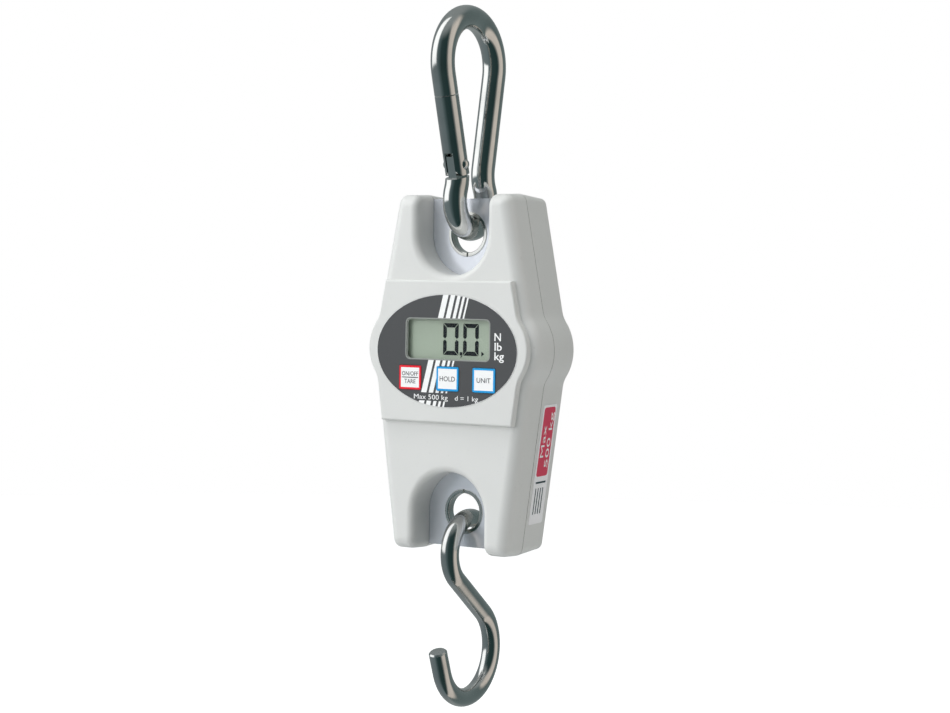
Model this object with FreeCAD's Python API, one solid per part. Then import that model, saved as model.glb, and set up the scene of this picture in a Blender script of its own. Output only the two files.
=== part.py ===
"""Hanging scale: a carabiner and an S-hook on the two eyes of a load cell plate, in a two-part housing.

Millimetres, +Z up, the display faces -Y. The origin is the carabiner's crown, where a support bar bears.
"""

import FreeCAD, Part
import math
import os

V = FreeCAD.Vector
X, Y, Z = V(1, 0, 0), V(0, 1, 0), V(0, 0, 1)

# ---------------------------------------------------------------- driving dimensions
# carabiner, a bent bar with a hinged gate
carabiner_length = 98.2
carabiner_width = 49.4
carabiner_bar_d = 10.0
lower_bow_r = 11.9            # centreline radius of the bow that goes through the eye
neck_half = 9.8              # centreline half width at the neck above that bow
neck_blend_r = 14.3
carabiner_lean = 2.75         # degrees, crown towards the front
gate_pivot_up = 15.05         # pivot height above the lower bow's centre
gate_length = 28.95           # pivot to the gate's top face
gate_opening = 28.0           # degrees
nose_gap = 0.4
fork_slot = 4.2
rivet_d = 3.0
gate_bore_d = 4.2
plunger_length = 5.0
plunger_lift = 1.55
# S-hook
hook_bar_d = 7.8
hook_eye_r = 14.1             # centreline radius of the upper loop
hook_bowl_r = 19.5            # centreline radius of the lower loop
hook_span = 42.6              # between the two loops' centres, vertically
hook_tip_flare = 19.7         # degrees short of a half turn
hook_tip_length = 10.2        # straight, beyond the bowl
hook_set_back = 1.9           # eye loop's centre behind the plate's middle
bowl_set_forward = 0.35
bow_offset = 0.55             # lower bow's centre in front of the plate's middle
# load cell plate and the rolled bushes in its eyes
eye_spacing = 116.8
plate_width = 40.0
plate_height = 146.4
plate_thickness = 4.0
bush_outer_d = 19.0
bush_inner_d = 15.5
bush_length = 4.6
bush_edge_r = 0.6
bush_slit = 0.8
# housing outline, about the middle between the eyes
housing_height = 150.0
top_half_width = 27.9
bottom_half_width = 28.8
upper_taper = 11.1            # degrees
lower_taper = 7.65
bulge_proud = 2.526           # beyond the upper side's line at the bulge's centre
bulge_r = 21.5
bulge_up = 10.4
shoulder_blend_r = 10.0
corner_r = 4.0
# housing depths, from the panel's face
panel_to_plate = 15.6
panel_raise = 2.5
depth_behind_plate = 16.4
wall = 2.2
recess_r = 17.4
recess_wall = 2.0
front_edge_r = 5.0
rear_edge_r = 4.0
recess_edge_r = 3.0
parting_chamfer = 0.25
front_draft = 3.0             # degrees
rear_draft = 4.0
panel_inset = 3.5
panel_top_up = 38.8
panel_bottom_up = -20.3
panel_edge_r = 0.8
# keypad foil, display and keys
foil_half_x = 34.8
foil_half_z = 23.4
foil_up = 9.6
foil_thickness = 0.5
foil_proud = 0.1
window_x = (-19.8, 21.2)
window_up = (6.2, 22.7)
window_r = 1.8
lens_thickness = 1.0
glass_thickness = 2.4
key_xs = {"power": -17.6, "hold": 1.2, "unit": 19.0}
key_up = -1.9
key_width = 10.9
key_height = 10.0
key_proud = 0.25
key_travel = 0.4
# circuit board
board_half_width = 31.0
board_up = (-16.5, 35.5)
board_depth = 10.0            # panel's face to the board's front
board_thickness = 1.6
board_screw_x = 28.0
board_screw_ups = (-13.0, 32.0)
# batteries
cell_d = 10.5
cell_length = 44.5
cell_pitch = 11.1
bay_top_up = 21.5
contact_thickness = 0.5
spring_length = 6.5
door_thickness = 1.8
# screws
housing_screw_x = 24.2
housing_screw_up = 62.0
housing_screw_d = 2.6
boss_r = 3.4
cell_screw_x = 8.0
cell_screw_up = 31.0
wire_d = 1.3
cable_d = 1.6
# clearances
bearing_gap = 0.2             # bar to bush, where the load rests
pin_gap = 0.05                # radial, rivet in the bar
slide_gap = 0.2               # key in its opening, door in its opening
pocket_gap = 0.15

# ---------------------------------------------------------------- levels
bar_r = carabiner_bar_d / 2
big_bow_r = carabiner_width / 2 - bar_r
bow_span = carabiner_length - (big_bow_r + bar_r) - (lower_bow_r + bar_r)
lean = math.radians(carabiner_lean)
lower_bow_y = bow_span * math.sin(lean)
lower_bow_z = -(big_bow_r - bar_r) - bow_span * math.cos(lean)

plate_mid_y = lower_bow_y + bow_offset
bush_bearing = bush_length / 2 - bush_edge_r
bow_reach = abs(plate_mid_y - lower_bow_y) + bush_bearing
bow_inner_drop = math.sqrt((lower_bow_r - bar_r) ** 2 - bow_reach ** 2)
upper_eye_z = lower_bow_z - bow_inner_drop - bush_inner_d / 2 + bearing_gap
mid_z = upper_eye_z - eye_spacing / 2
lower_eye_z = mid_z - eye_spacing / 2

parting_y = plate_mid_y - plate_thickness / 2
plate_back_y = plate_mid_y + plate_thickness / 2
panel_y = parting_y - panel_to_plate
front_y = panel_y + panel_raise
side_rise = housing_height / 2 - bulge_up
bulge_half_width = top_half_width + side_rise * math.tan(math.radians(upper_taper)) + bulge_proud
back_y = plate_back_y + depth_behind_plate
board_y = panel_y + board_depth
board_back_y = board_y + board_thickness
recess_ends = ((upper_eye_z, 1), (lower_eye_z, -1))


# ---------------------------------------------------------------- shape helpers
def box(x, y, z):
    return Part.makeBox(x[1] - x[0], y[1] - y[0], z[1] - z[0], V(x[0], y[0], z[0]))


def rod(radius, start, end):
    start, end = V(*start), V(*end)
    return Part.makeCylinder(radius, (end - start).Length, start, end - start)


def fuse(shapes):
    return shapes[0].fuse(shapes[1:]).removeSplitter()


def group(shapes):
    return Part.makeCompound(shapes)


def rounded_block(x, z, radius, y):
    """A block along Y whose section in X and Z has rounded corners."""
    block = box(x, y, z)
    edges = [e for e in block.Edges if abs(e.tangentAt(e.FirstParameter).y) > 0.99]
    return block.makeFillet(radius, edges)


def arc_edge(centre, radius, start, end, place):
    """The shorter arc from start to end, in the plane that place maps to space."""
    out = (start[0] + end[0] - 2 * centre[0], start[1] + end[1] - 2 * centre[1])
    k = radius / math.hypot(*out)
    middle = (centre[0] + out[0] * k, centre[1] + out[1] * k)
    return Part.Arc(place(start), place(middle), place(end)).toShape()


def arc_by_angle(centre, radius, start, end, place):
    """An arc about centre from one angle to another, in degrees, in that plane."""
    points = []
    for angle in (start, (start + end) / 2, end):
        a = math.radians(angle)
        points.append(place((centre[0] + radius * math.cos(a), centre[1] + radius * math.sin(a))))
    return Part.Arc(*points).toShape()


def bar_along(edges, radius):
    """A round bar swept along edges that run on smoothly."""
    path = Part.Wire(edges)
    first = edges[0]
    start = first.valueAt(first.FirstParameter)
    direction = first.tangentAt(first.FirstParameter)
    section = Part.Wire(Part.makeCircle(radius, start, direction))
    return path.makePipeShell([section], True, True)


def coil(wire_radius, coil_radius, height, turns):
    """A spring about Z, from z = 0 up to its height."""
    helix = Part.makeLongHelix(height / turns, height, coil_radius)
    section = Part.Wire(Part.makeCircle(wire_radius, V(coil_radius, 0, 0), Y))
    return Part.Wire(helix.Edges).makePipeShell([section], True, True)


def tube_path(points, radius):
    """A wire through points, with a tangent arc at each corner."""
    points = [V(*p) for p in points]
    edges = []
    start = points[0]
    for before, corner, after in zip(points, points[1:], points[2:]):
        into, out = (corner - before), (after - corner)
        turn = into.getAngle(out)
        short = min(into.Length, out.Length)
        bend = 0.45 * short / math.tan(turn / 2)
        reach = bend * math.tan(turn / 2)
        a = corner - into.normalize() * reach
        b = corner + out.normalize() * reach
        inward = (out - into).normalize()
        middle = corner + inward * (bend / math.cos(turn / 2) - bend)
        edges += [Part.makeLine(start, a), Part.Arc(a, middle, b).toShape()]
        start = b
    edges.append(Part.makeLine(start, points[-1]))
    return bar_along(edges, radius)


# ---------------------------------------------------------------- housing outline
def outline(inset, y):
    """The housing's outline, as seen from the front, moved inwards by inset."""
    bulge = (bulge_half_width - bulge_r, mid_z + bulge_up)
    radius = bulge_r - inset
    blend = shoulder_blend_r + inset
    corner = max(corner_r - inset, 0.4)
    ends = []
    for side, half, taper in ((1, top_half_width, upper_taper), (-1, bottom_half_width, lower_taper)):
        t = math.radians(taper)
        normal = (math.cos(t), side * math.sin(t))
        along = (-math.sin(t), side * math.cos(t))
        sharp_z = mid_z + side * housing_height / 2
        offset = normal[0] * half + normal[1] * sharp_z - inset
        k = offset + blend - normal[0] * bulge[0] - normal[1] * bulge[1]
        m = math.sqrt((radius + blend) ** 2 - k * k)
        centre = (bulge[0] + normal[0] * k + along[0] * m, bulge[1] + normal[1] * k + along[1] * m)
        on_side = (centre[0] - normal[0] * blend, centre[1] - normal[1] * blend)
        share = blend / (radius + blend)
        on_bulge = (centre[0] + (bulge[0] - centre[0]) * share, centre[1] + (bulge[1] - centre[1]) * share)
        end_z = sharp_z - side * inset
        corner_z = end_z - side * corner
        corner_x = (offset - corner - normal[1] * corner_z) / normal[0]
        corner_side = (corner_x + normal[0] * corner, corner_z + normal[1] * corner)
        ends.append((centre, on_side, on_bulge, (corner_x, corner_z), corner_side, (corner_x, end_z)))
    edges = []
    for mirror in (1, -1):
        def place(p):
            return V(mirror * p[0], y, p[1])
        for centre, on_side, on_bulge, corner_at, corner_side, corner_end in ends:
            edges.append(arc_edge(corner_at, corner, corner_end, corner_side, place))
            edges.append(Part.makeLine(place(corner_side), place(on_side)))
            edges.append(arc_edge(centre, blend, on_side, on_bulge, place))
        edges.append(arc_edge(bulge, radius, ends[0][2], ends[1][2], place))
    for end in ends:
        edges.append(Part.makeLine(V(-end[5][0], y, end[5][1]), V(end[5][0], y, end[5][1])))
    return Part.Wire(Part.__sortEdges__(edges))


def housing_prism(inset, start_y, end_y, draft):
    """A solid between two depths that narrows by the draft away from start_y."""
    shrink = abs(end_y - start_y) * math.tan(math.radians(draft))
    return Part.makeLoft([outline(inset, start_y), outline(inset + shrink, end_y)], True, True)


def recess_block(radius, start_y, end_y, eye_z, side):
    """The U-shaped space about an eye, open at the housing's end."""
    reach = housing_height / 2 + 10.0 - eye_spacing / 2
    arch = rod(radius, (0, start_y, eye_z), (0, end_y, eye_z))
    low, high = sorted((eye_z, eye_z + side * reach))
    return arch.fuse(box((-radius, radius), (start_y, end_y), (low, high))).removeSplitter()


def edges_at(shape, y, keep):
    return [e for e in shape.Edges if all(abs(v.Y - y) < 1e-5 for v in e.Vertexes) and keep(e.CenterOfMass)]


def in_recess(point):
    inside_x = abs(point.x) < recess_r + 0.05
    return inside_x and abs(point.z - mid_z) < housing_height / 2 - front_edge_r


def shell_blank(face_y, draft, edge_r):
    """One half of the housing as a solid, with its recesses and its rounded edges."""
    blank = housing_prism(0, parting_y, face_y, draft)
    low, high = sorted((parting_y, face_y))
    for eye_z, side in recess_ends:
        blank = blank.cut(recess_block(recess_r, low - 5, high + 5, eye_z, side))
    outer = edges_at(blank, face_y,
                     lambda p: abs(p.x) > recess_r or abs(p.z - mid_z) > housing_height / 2 - 2)
    blank = blank.makeFillet(edge_r, outer)
    blank = blank.makeFillet(recess_edge_r, edges_at(blank, face_y, in_recess))
    return blank.makeChamfer(parting_chamfer, edges_at(blank, parting_y, lambda p: True))


def shell_cavity(face_y, draft, edge_r):
    """What is hollow inside that half: the recesses keep their own walls."""
    inner_y = face_y + wall * (1 if face_y < parting_y else -1)
    cavity = housing_prism(wall, parting_y, inner_y, draft)
    rounding = max(edge_r - wall, 0.5)
    cavity = cavity.makeFillet(rounding, edges_at(cavity, inner_y, lambda p: True))
    low, high = sorted((parting_y, face_y))
    for eye_z, side in recess_ends:
        cavity = cavity.cut(recess_block(recess_r + recess_wall, low - 5, high + 5, eye_z, side))
    return cavity


def housing_screw_places():
    return [(x, mid_z + up) for x in (-housing_screw_x, housing_screw_x)
            for up in (-housing_screw_up, housing_screw_up)]


def board_screw_places():
    return [(x, mid_z + up) for x in (-board_screw_x, board_screw_x) for up in board_screw_ups]


def window_block(grow, y):
    x = (window_x[0] - grow, window_x[1] + grow)
    z = (mid_z + window_up[0] - grow, mid_z + window_up[1] + grow)
    return rounded_block(x, z, window_r, y)


def key_block(centre_x, grow, y):
    x = (centre_x - key_width / 2 - grow, centre_x + key_width / 2 + grow)
    z = (mid_z + key_up - key_height / 2 - grow, mid_z + key_up + key_height / 2 + grow)
    return rounded_block(x, z, 0.6 + grow, y)


def foil_oval(grow, y):
    ellipse = Part.Ellipse(V(0, 0, 0), foil_half_x + grow, foil_half_z + grow).toShape()
    face = Part.Face(Part.Wire(ellipse))
    face.rotate(V(0, 0, 0), X, 90)
    face.translate(V(0, y[0], mid_z + foil_up))
    return face.extrude(V(0, y[1] - y[0], 0))


# ---------------------------------------------------------------- housing shells
plastic_face_y = panel_y + foil_proud
panel_inner_y = plastic_face_y + wall
glass_y = panel_inner_y + 0.2
lens_y = panel_inner_y - lens_thickness
lens_rim = 2.0


def front_shell():
    shell = shell_blank(front_y, front_draft, front_edge_r)
    slab_z = (mid_z + panel_bottom_up, mid_z + panel_top_up)
    plateau = housing_prism(panel_inset, front_y + front_edge_r / 2, plastic_face_y, front_draft)
    plateau = plateau.common(box((-60, 60), (panel_y - 5, parting_y), slab_z))
    plateau = plateau.makeFillet(panel_edge_r, edges_at(plateau, plastic_face_y, lambda p: True))
    shell = shell.fuse(plateau)
    hollow = shell_cavity(front_y, front_draft, front_edge_r)
    pocket = housing_prism(panel_inset + wall, front_y + wall + 0.5, panel_inner_y, front_draft)
    pocket = pocket.common(box((-60, 60), (panel_y, parting_y), (slab_z[0] + wall, slab_z[1] - wall)))
    shell = shell.cut(hollow.fuse(pocket))
    bosses = []
    for x, z in housing_screw_places():
        bosses.append(rod(boss_r, (x, front_y + wall / 2, z), (x, parting_y - 0.2, z)))
    for x, z in board_screw_places():
        bosses.append(rod(boss_r - 0.8, (x, plastic_face_y + wall / 2, z), (x, board_y, z)))
    shell = shell.fuse(bosses)
    for x, z in housing_screw_places():
        shell = shell.cut(rod(housing_screw_d / 2, (x, front_y + wall + 1, z), (x, parting_y + 1, z)))
    for x, z in board_screw_places():
        shell = shell.cut(rod(board_screw_d / 2, (x, board_y - board_screw_grip, z), (x, board_y + 1, z)))
    shell = shell.cut(foil_oval(0.15, (panel_y - 1, panel_y + foil_thickness)))
    shell = shell.cut(window_block(0, (panel_y - 1, panel_inner_y + 1)))
    shell = shell.cut(window_block(lens_rim + pocket_gap, (lens_y, panel_inner_y + 1)))
    for centre_x in key_xs.values():
        shell = shell.cut(key_block(centre_x, slide_gap, (panel_y - 1, panel_inner_y + 1)))
    return shell.removeSplitter()


# battery bay, in the rear shell behind the load cell plate
bay_wall = 1.4
bay_floor_y = plate_back_y + 0.6
bay_inner_y = bay_floor_y + 1.2
bay_length = cell_length + spring_length + 2 * contact_thickness
bay_half_width = cell_pitch + cell_d / 2 + 0.85
bay_z = (mid_z + bay_top_up - bay_length, mid_z + bay_top_up)
door_inner_y = back_y - door_thickness
door_lip = 1.2
door_x = (-bay_half_width - door_lip + slide_gap, bay_half_width + door_lip - slide_gap)
door_z = (bay_z[0] - door_lip + slide_gap, bay_z[1] + door_lip - slide_gap)
tab_xs = (-10.0, 10.0)
tab_half_width = 2.4
tab_y = (back_y - wall - 1.3, back_y - wall - 0.1)
tab_reach = 1.6
tab_swing = math.hypot(back_y - tab_y[0], tab_reach) + 0.3


def rear_shell():
    shell = shell_blank(back_y, rear_draft, rear_edge_r)
    shell = shell.cut(shell_cavity(back_y, rear_draft, rear_edge_r))
    posts = [box((-bay_half_width - bay_wall, bay_half_width + bay_wall), (bay_floor_y, back_y - wall / 2),
                 (bay_z[0] - bay_wall, bay_z[1] + bay_wall))]
    for x, z in housing_screw_places():
        posts.append(rod(boss_r, (x, parting_y, z), (x, back_y - wall / 2, z)))
    for x in (-cell_screw_x, cell_screw_x):
        z = mid_z + cell_screw_up
        posts.append(rod(boss_r, (x, plate_back_y, z), (x, back_y - wall / 2, z)))
    shell = shell.fuse(posts)
    plate_pocket = box((-plate_width / 2 - pocket_gap, plate_width / 2 + pocket_gap),
                       (parting_y - 1, plate_back_y),
                       (mid_z - plate_height / 2 - pocket_gap, mid_z + plate_height / 2 + pocket_gap))
    shell = shell.cut(plate_pocket)
    for x, z in housing_screw_places():
        shell = shell.cut(rod(housing_screw_d / 2 + 0.2, (x, parting_y - 1, z), (x, back_y + 1, z)))
        shell = shell.cut(rod(screw_head_r + 0.2, (x, screw_head_y, z), (x, back_y + 1, z)))
    for x in (-cell_screw_x, cell_screw_x):
        z = mid_z + cell_screw_up
        deep = plate_back_y + cell_screw_grip
        shell = shell.cut(rod(cell_screw_d / 2, (x, plate_back_y - 1, z), (x, deep, z)))
    shell = shell.cut(box((-bay_half_width, bay_half_width), (bay_inner_y, back_y + 1), bay_z))
    rebate_x = (door_x[0] - slide_gap, door_x[1] + slide_gap)
    rebate_z = (door_z[0] - slide_gap, door_z[1] + slide_gap)
    shell = shell.cut(box(rebate_x, (door_inner_y - 0.05, back_y + 1), rebate_z))
    for x in tab_xs:
        slot_x = (x - tab_half_width - slide_gap, x + tab_half_width + slide_gap)
        slot_z = (bay_z[1] - 1, door_z[1] + tab_reach + 0.4)
        shell = shell.cut(box(slot_x, (back_y - tab_swing, back_y - wall), slot_z))
        shell = shell.cut(box(slot_x, (back_y - wall - 0.1, door_inner_y), (bay_z[1] - 1, rebate_z[1])))
    shell = shell.cut(finger_scoop())
    for x in contact_xs:
        slot_x = (x - contact_tail_half - 0.1, x + contact_tail_half + 0.1)
        shell = shell.cut(box(slot_x, (cell_y - 0.5, cell_y + 0.5), (bay_z[1] - 1, bay_z[1] + bay_wall + 1)))
    return shell.removeSplitter()


def finger_scoop():
    """A hollow below the door for a fingertip."""
    radius = 14.0
    depth = 1.3
    centre_y = back_y + radius - depth
    scoop = rod(radius, (-6, centre_y, door_z[0] - 4), (6, centre_y, door_z[0] - 4))
    return scoop.common(box((-6, 6), (back_y - depth, back_y + 1), (door_z[0] - 9, door_z[0] + 1)))


def battery_door():
    door = rounded_block(door_x, door_z, 0.8, (door_inner_y, back_y))
    for x in tab_xs:
        tab_x = (x - tab_half_width, x + tab_half_width)
        root = box(tab_x, (tab_y[0], door_inner_y), (bay_z[1] - 2.4, bay_z[1] - 0.3))
        hook = box(tab_x, tab_y, (bay_z[1] - 2.4, door_z[1] + tab_reach))
        door = door.fuse([root, hook])
    for x in (-cell_pitch / 2, cell_pitch / 2):
        rib = box((x - 0.6, x + 0.6), (door_inner_y - 1.1, door_inner_y), (bay_z[0] + 8, bay_z[1] - 10))
        door = door.fuse(rib)
    latch = box((-4, 4), (door_inner_y - 2.2, door_inner_y), (bay_z[0] + 0.3, bay_z[0] + 1.3))
    door = door.fuse(latch)
    for step in range(5):
        z = door_z[0] + 5 + 2.2 * step
        door = door.cut(rod(0.6, (-8, back_y + 0.15, z), (8, back_y + 0.15, z)))
    return door.removeSplitter()


# ---------------------------------------------------------------- screws
screw_head_r = 2.5
screw_head_y = parting_y + 8.4
screw_length = 17.0
board_screw_d = 2.0
board_screw_grip = 4.5
cell_screw_d = 2.9
cell_screw_grip = 8.0


def screw(x, z, head_y, head_r, shank_r, length, head_side):
    """A pan head screw along Y: head_side is +1 when it is driven from the rear."""
    tip_y = head_y - head_side * length
    top_y = head_y + head_side * head_r * 0.8
    head = rod(head_r, (x, head_y, z), (x, top_y, z))
    rim = [e for e in head.Edges if len(e.Vertexes) == 1 and abs(e.Vertexes[0].Y - top_y) < 1e-5]
    head = head.makeFillet(head_r * 0.3, rim)
    body = head.fuse(rod(shank_r, (x, tip_y, z), (x, head_y, z)))
    slot_y = sorted((top_y - head_side * head_r * 0.4, top_y + head_side))
    cross = [box((x - a, x + a), slot_y, (z - b, z + b))
             for a, b in ((head_r * 0.6, 0.3), (0.3, head_r * 0.6))]
    return body.cut(cross[0].fuse(cross[1]))


def housing_screws():
    shank = housing_screw_d / 2
    return group([screw(x, z, screw_head_y, screw_head_r, shank, screw_length, 1)
                  for x, z in housing_screw_places()])


def board_screws():
    length = board_thickness + board_screw_grip - 0.3
    return group([screw(x, z, board_back_y, 2.0, board_screw_d / 2, length, 1)
                  for x, z in board_screw_places()])


def load_cell_screws():
    z = mid_z + cell_screw_up
    length = plate_thickness + cell_screw_grip - 0.5
    return group([screw(x, z, parting_y, 2.4, cell_screw_d / 2, length, -1)
                  for x in (-cell_screw_x, cell_screw_x)])


# ---------------------------------------------------------------- load cell
measuring_window = (10.0, 6.0)          # half length, half height
slit_up = 12.0
slit_half = 0.8
slit_end_x = 12.0


def load_cell_plate():
    plate = rounded_block((-plate_width / 2, plate_width / 2),
                          (mid_z - plate_height / 2, mid_z + plate_height / 2), 2.0,
                          (parting_y, plate_back_y))
    cut_y = (parting_y - 1, plate_back_y + 1)
    for eye_z in (upper_eye_z, lower_eye_z):
        plate = plate.cut(rod(bush_outer_d / 2, (0, cut_y[0], eye_z), (0, cut_y[1], eye_z)))
    for x in (-cell_screw_x, cell_screw_x):
        z = mid_z + cell_screw_up
        plate = plate.cut(rod(cell_screw_d / 2 + 0.2, (x, cut_y[0], z), (x, cut_y[1], z)))
    half_x, half_z = measuring_window
    plate = plate.cut(rounded_block((-half_x, half_x), (mid_z - half_z, mid_z + half_z), 1.5, cut_y))
    for side in (1, -1):
        z = mid_z + side * slit_up
        x = sorted((-side * (plate_width / 2 + 1), side * slit_end_x))
        plate = plate.cut(box(x, cut_y, (z - slit_half, z + slit_half)))
        plate = plate.cut(rod(1.6, (side * slit_end_x, cut_y[0], z), (side * slit_end_x, cut_y[1], z)))
    return plate


def strain_gauges():
    half_z = measuring_window[1]
    foils = []
    for x in (-5.5, 5.5):
        for side in (1, -1):
            z = sorted((mid_z + side * half_z, mid_z + side * (half_z - 0.25)))
            foils.append(box((x - 2.5, x + 2.5), (plate_mid_y - 1.5, plate_mid_y + 1.5), z))
    return group(foils)


def bush(eye_z, slit_side):
    """A rolled ring with rounded edges; its slit faces away from the load."""
    low, high = plate_mid_y - bush_length / 2, plate_mid_y + bush_length / 2
    ring = rod(bush_outer_d / 2, (0, low, eye_z), (0, high, eye_z))
    ring = ring.cut(rod(bush_inner_d / 2, (0, low - 1, eye_z), (0, high + 1, eye_z)))
    rims = [e for e in ring.Edges if isinstance(e.Curve, Part.Circle)]
    inner = [e for e in rims if abs(e.Curve.Radius - bush_inner_d / 2) < 1e-6]
    outer = [e for e in rims if abs(e.Curve.Radius - bush_outer_d / 2) < 1e-6]
    ring = ring.makeFillet(bush_edge_r, inner)
    outer = [e for e in ring.Edges if isinstance(e.Curve, Part.Circle)
             and abs(e.Curve.Radius - bush_outer_d / 2) < 1e-6]
    ring = ring.makeFillet(0.25, outer)
    slit_z = sorted((eye_z, eye_z + slit_side * bush_outer_d))
    return ring.cut(box((-bush_slit / 2, bush_slit / 2), (low - 1, high + 1), slit_z))


# ---------------------------------------------------------------- carabiner
def carabiner_plane(p):
    """From (across, up) about the lower bow's centre to space, with the lean."""
    across, up = p
    y = lower_bow_y + across * math.cos(lean) - up * math.sin(lean)
    z = lower_bow_z + across * math.sin(lean) + up * math.cos(lean)
    return V(0, y, z)


blend_up = math.sqrt((lower_bow_r + neck_blend_r) ** 2 - (neck_half + neck_blend_r) ** 2)
blend_centre = (neck_half + neck_blend_r, blend_up)
_dx, _dz = blend_centre[0], blend_centre[1] - bow_span
leg_angle = math.asin((big_bow_r + neck_blend_r) / math.hypot(_dx, _dz)) - math.atan2(_dx, -_dz)
leg_normal = (math.cos(leg_angle), -math.sin(leg_angle))
leg_start = (blend_centre[0] - neck_blend_r * leg_normal[0], blend_centre[1] - neck_blend_r * leg_normal[1])
leg_end = (big_bow_r * leg_normal[0], bow_span + big_bow_r * leg_normal[1])
bow_touch = (blend_centre[0] * lower_bow_r / (lower_bow_r + neck_blend_r),
             blend_centre[1] * lower_bow_r / (lower_bow_r + neck_blend_r))
pivot_across = leg_start[0] + (gate_pivot_up - leg_start[1]) * math.tan(leg_angle)
pivot = (-pivot_across, gate_pivot_up)
gate_tilt = math.degrees(leg_angle) + carabiner_lean
gate_end_r = bar_r
step_down = gate_end_r + 0.3
tang_half = (fork_slot - 0.3) / 2
tang_top = 4.0
tongue_half = 1.5
tongue_top = gate_length + 5.2
latch_pin_r = 1.0
latch_pin_up = gate_length + 3.6
slot_top = tang_top + 1.6


def on_gate(shape):
    """Turns and moves a shape drawn about the pivot, gate along Z, onto the front leg."""
    shape = shape.copy()
    shape.rotate(V(0, 0, 0), X, gate_tilt)
    shape.translate(carabiner_plane(pivot))
    return shape


def carabiner_body():
    def mirrored(p):
        return (-p[0], p[1])
    nose = (-(pivot_across + (gate_length + nose_gap) * math.sin(leg_angle)),
            gate_pivot_up + (gate_length + nose_gap) * math.cos(leg_angle))
    crown = (0.0, bow_span)
    foot = (0.0, 0.0)
    place = carabiner_plane
    front_angle = 180 + math.degrees(leg_angle)
    edges = [Part.makeLine(place(nose), place(mirrored(leg_end))),
             arc_by_angle(crown, big_bow_r, front_angle, -math.degrees(leg_angle), place),
             Part.makeLine(place(leg_end), place(leg_start)),
             arc_edge(blend_centre, neck_blend_r, leg_start, bow_touch, place)]
    touch_angle = math.degrees(math.atan2(bow_touch[1], bow_touch[0]))
    edges.append(arc_by_angle(foot, lower_bow_r, touch_angle, -180 - touch_angle, place))
    edges.append(arc_edge(mirrored(blend_centre), neck_blend_r, mirrored(bow_touch), mirrored(leg_start),
                          place))
    body = bar_along(edges, bar_r)
    body = body.cut(on_gate(box((-8, 8), (-8, 8), (-step_down, 3))))
    tang = rod(bar_r - 0.3, (0, 0, -step_down - 1), (0, 0, tang_top))
    tang = tang.common(box((-tang_half, tang_half), (-4.0, 4.0), (-step_down - 1, tang_top)))
    body = body.fuse(on_gate(tang))
    hole = rod(rivet_d / 2 + pin_gap, (-8, 0, 0), (8, 0, 0))
    slot = box((-tongue_half - 0.2, tongue_half + 0.2), (-1.8, 8), (gate_length, tongue_top + 0.5))
    channel = box((-4.0, 4.0), (-1.3, 8),
                  (latch_pin_up - latch_pin_r - 0.6, latch_pin_up + latch_pin_r + 0.3))
    for cutter in (hole, slot, channel):
        body = body.cut(on_gate(cutter))
    return body


def carabiner_gate():
    gate = rod(bar_r, (0, 0, -bar_r), (0, 0, gate_length))
    foot = rod(gate_end_r, (-8, 0, 0), (8, 0, 0)).fuse(box((-8, 8), (-8, 8), (0, gate_length)))
    gate = gate.common(foot.cut(box((-8, 8), (-8, 8), (-8, -4.3))))
    gate = gate.cut(box((-fork_slot / 2, fork_slot / 2), (-8, 8), (-8, slot_top)))
    gate = gate.cut(rod(gate_bore_d / 2, (0, 0, slot_top - 1), (0, 0, gate_spring_top)))
    gate = gate.cut(rod(rivet_d / 2, (-8, 0, 0), (8, 0, 0)))
    for side in (1, -1):
        gate = gate.cut(rod(rivet_head_r + 0.1, (side * rivet_head_x, 0, 0), (side * 8, 0, 0)))
    tongue = box((-tongue_half, tongue_half), (-1.2, 3.6), (gate_length - 0.5, tongue_top))
    tongue = tongue.cut(rod(latch_pin_r, (-8, 0, latch_pin_up), (8, 0, latch_pin_up)))
    return on_gate(gate.fuse(tongue))


rivet_head_r = 2.2
rivet_head_x = bar_r - 0.45
rivet_head_height = 1.5
plunger_foot = tang_top + 0.05
gate_spring_foot = plunger_foot + plunger_length
gate_spring_top = gate_spring_foot + 11.0


def gate_rivet():
    parts = [rod(rivet_d / 2, (-rivet_head_x, 0, 0), (rivet_head_x, 0, 0))]
    for side in (1, -1):
        dome_r = (rivet_head_r ** 2 + rivet_head_height ** 2) / (2 * rivet_head_height)
        dome = Part.makeSphere(dome_r, V(side * (rivet_head_x + rivet_head_height - dome_r), 0, 0))
        x = sorted((side * rivet_head_x, side * 9))
        parts.append(dome.common(box(x, (-4, 4), (-4, 4))))
    return on_gate(fuse(parts))


def gate_latch_pin():
    return on_gate(rod(latch_pin_r, (-3.4, 0, latch_pin_up), (3.4, 0, latch_pin_up)))


def gate_plunger():
    return on_gate(rod(gate_bore_d / 2 - 0.1, (0, 0, plunger_foot), (0, 0, gate_spring_foot)))


def gate_spring():
    wire_r = 0.3
    height = gate_spring_top - gate_spring_foot - 2 * wire_r - 0.1
    spring = coil(wire_r, gate_bore_d / 2 - wire_r - 0.15, height, 8)
    spring.translate(V(0, 0, gate_spring_foot + wire_r + 0.05))
    return on_gate(spring)


# ---------------------------------------------------------------- S-hook
hook_r = hook_bar_d / 2
hook_y = plate_mid_y + hook_set_back
hook_reach = abs(hook_y - plate_mid_y) + bush_bearing
hook_inner_rise = math.sqrt((hook_eye_r - hook_r) ** 2 - hook_reach ** 2)
hook_eye_z = lower_eye_z - bush_inner_d / 2 - hook_inner_rise + bearing_gap
bowl_y = hook_y - bowl_set_forward
bowl_z = hook_eye_z - hook_span


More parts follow.
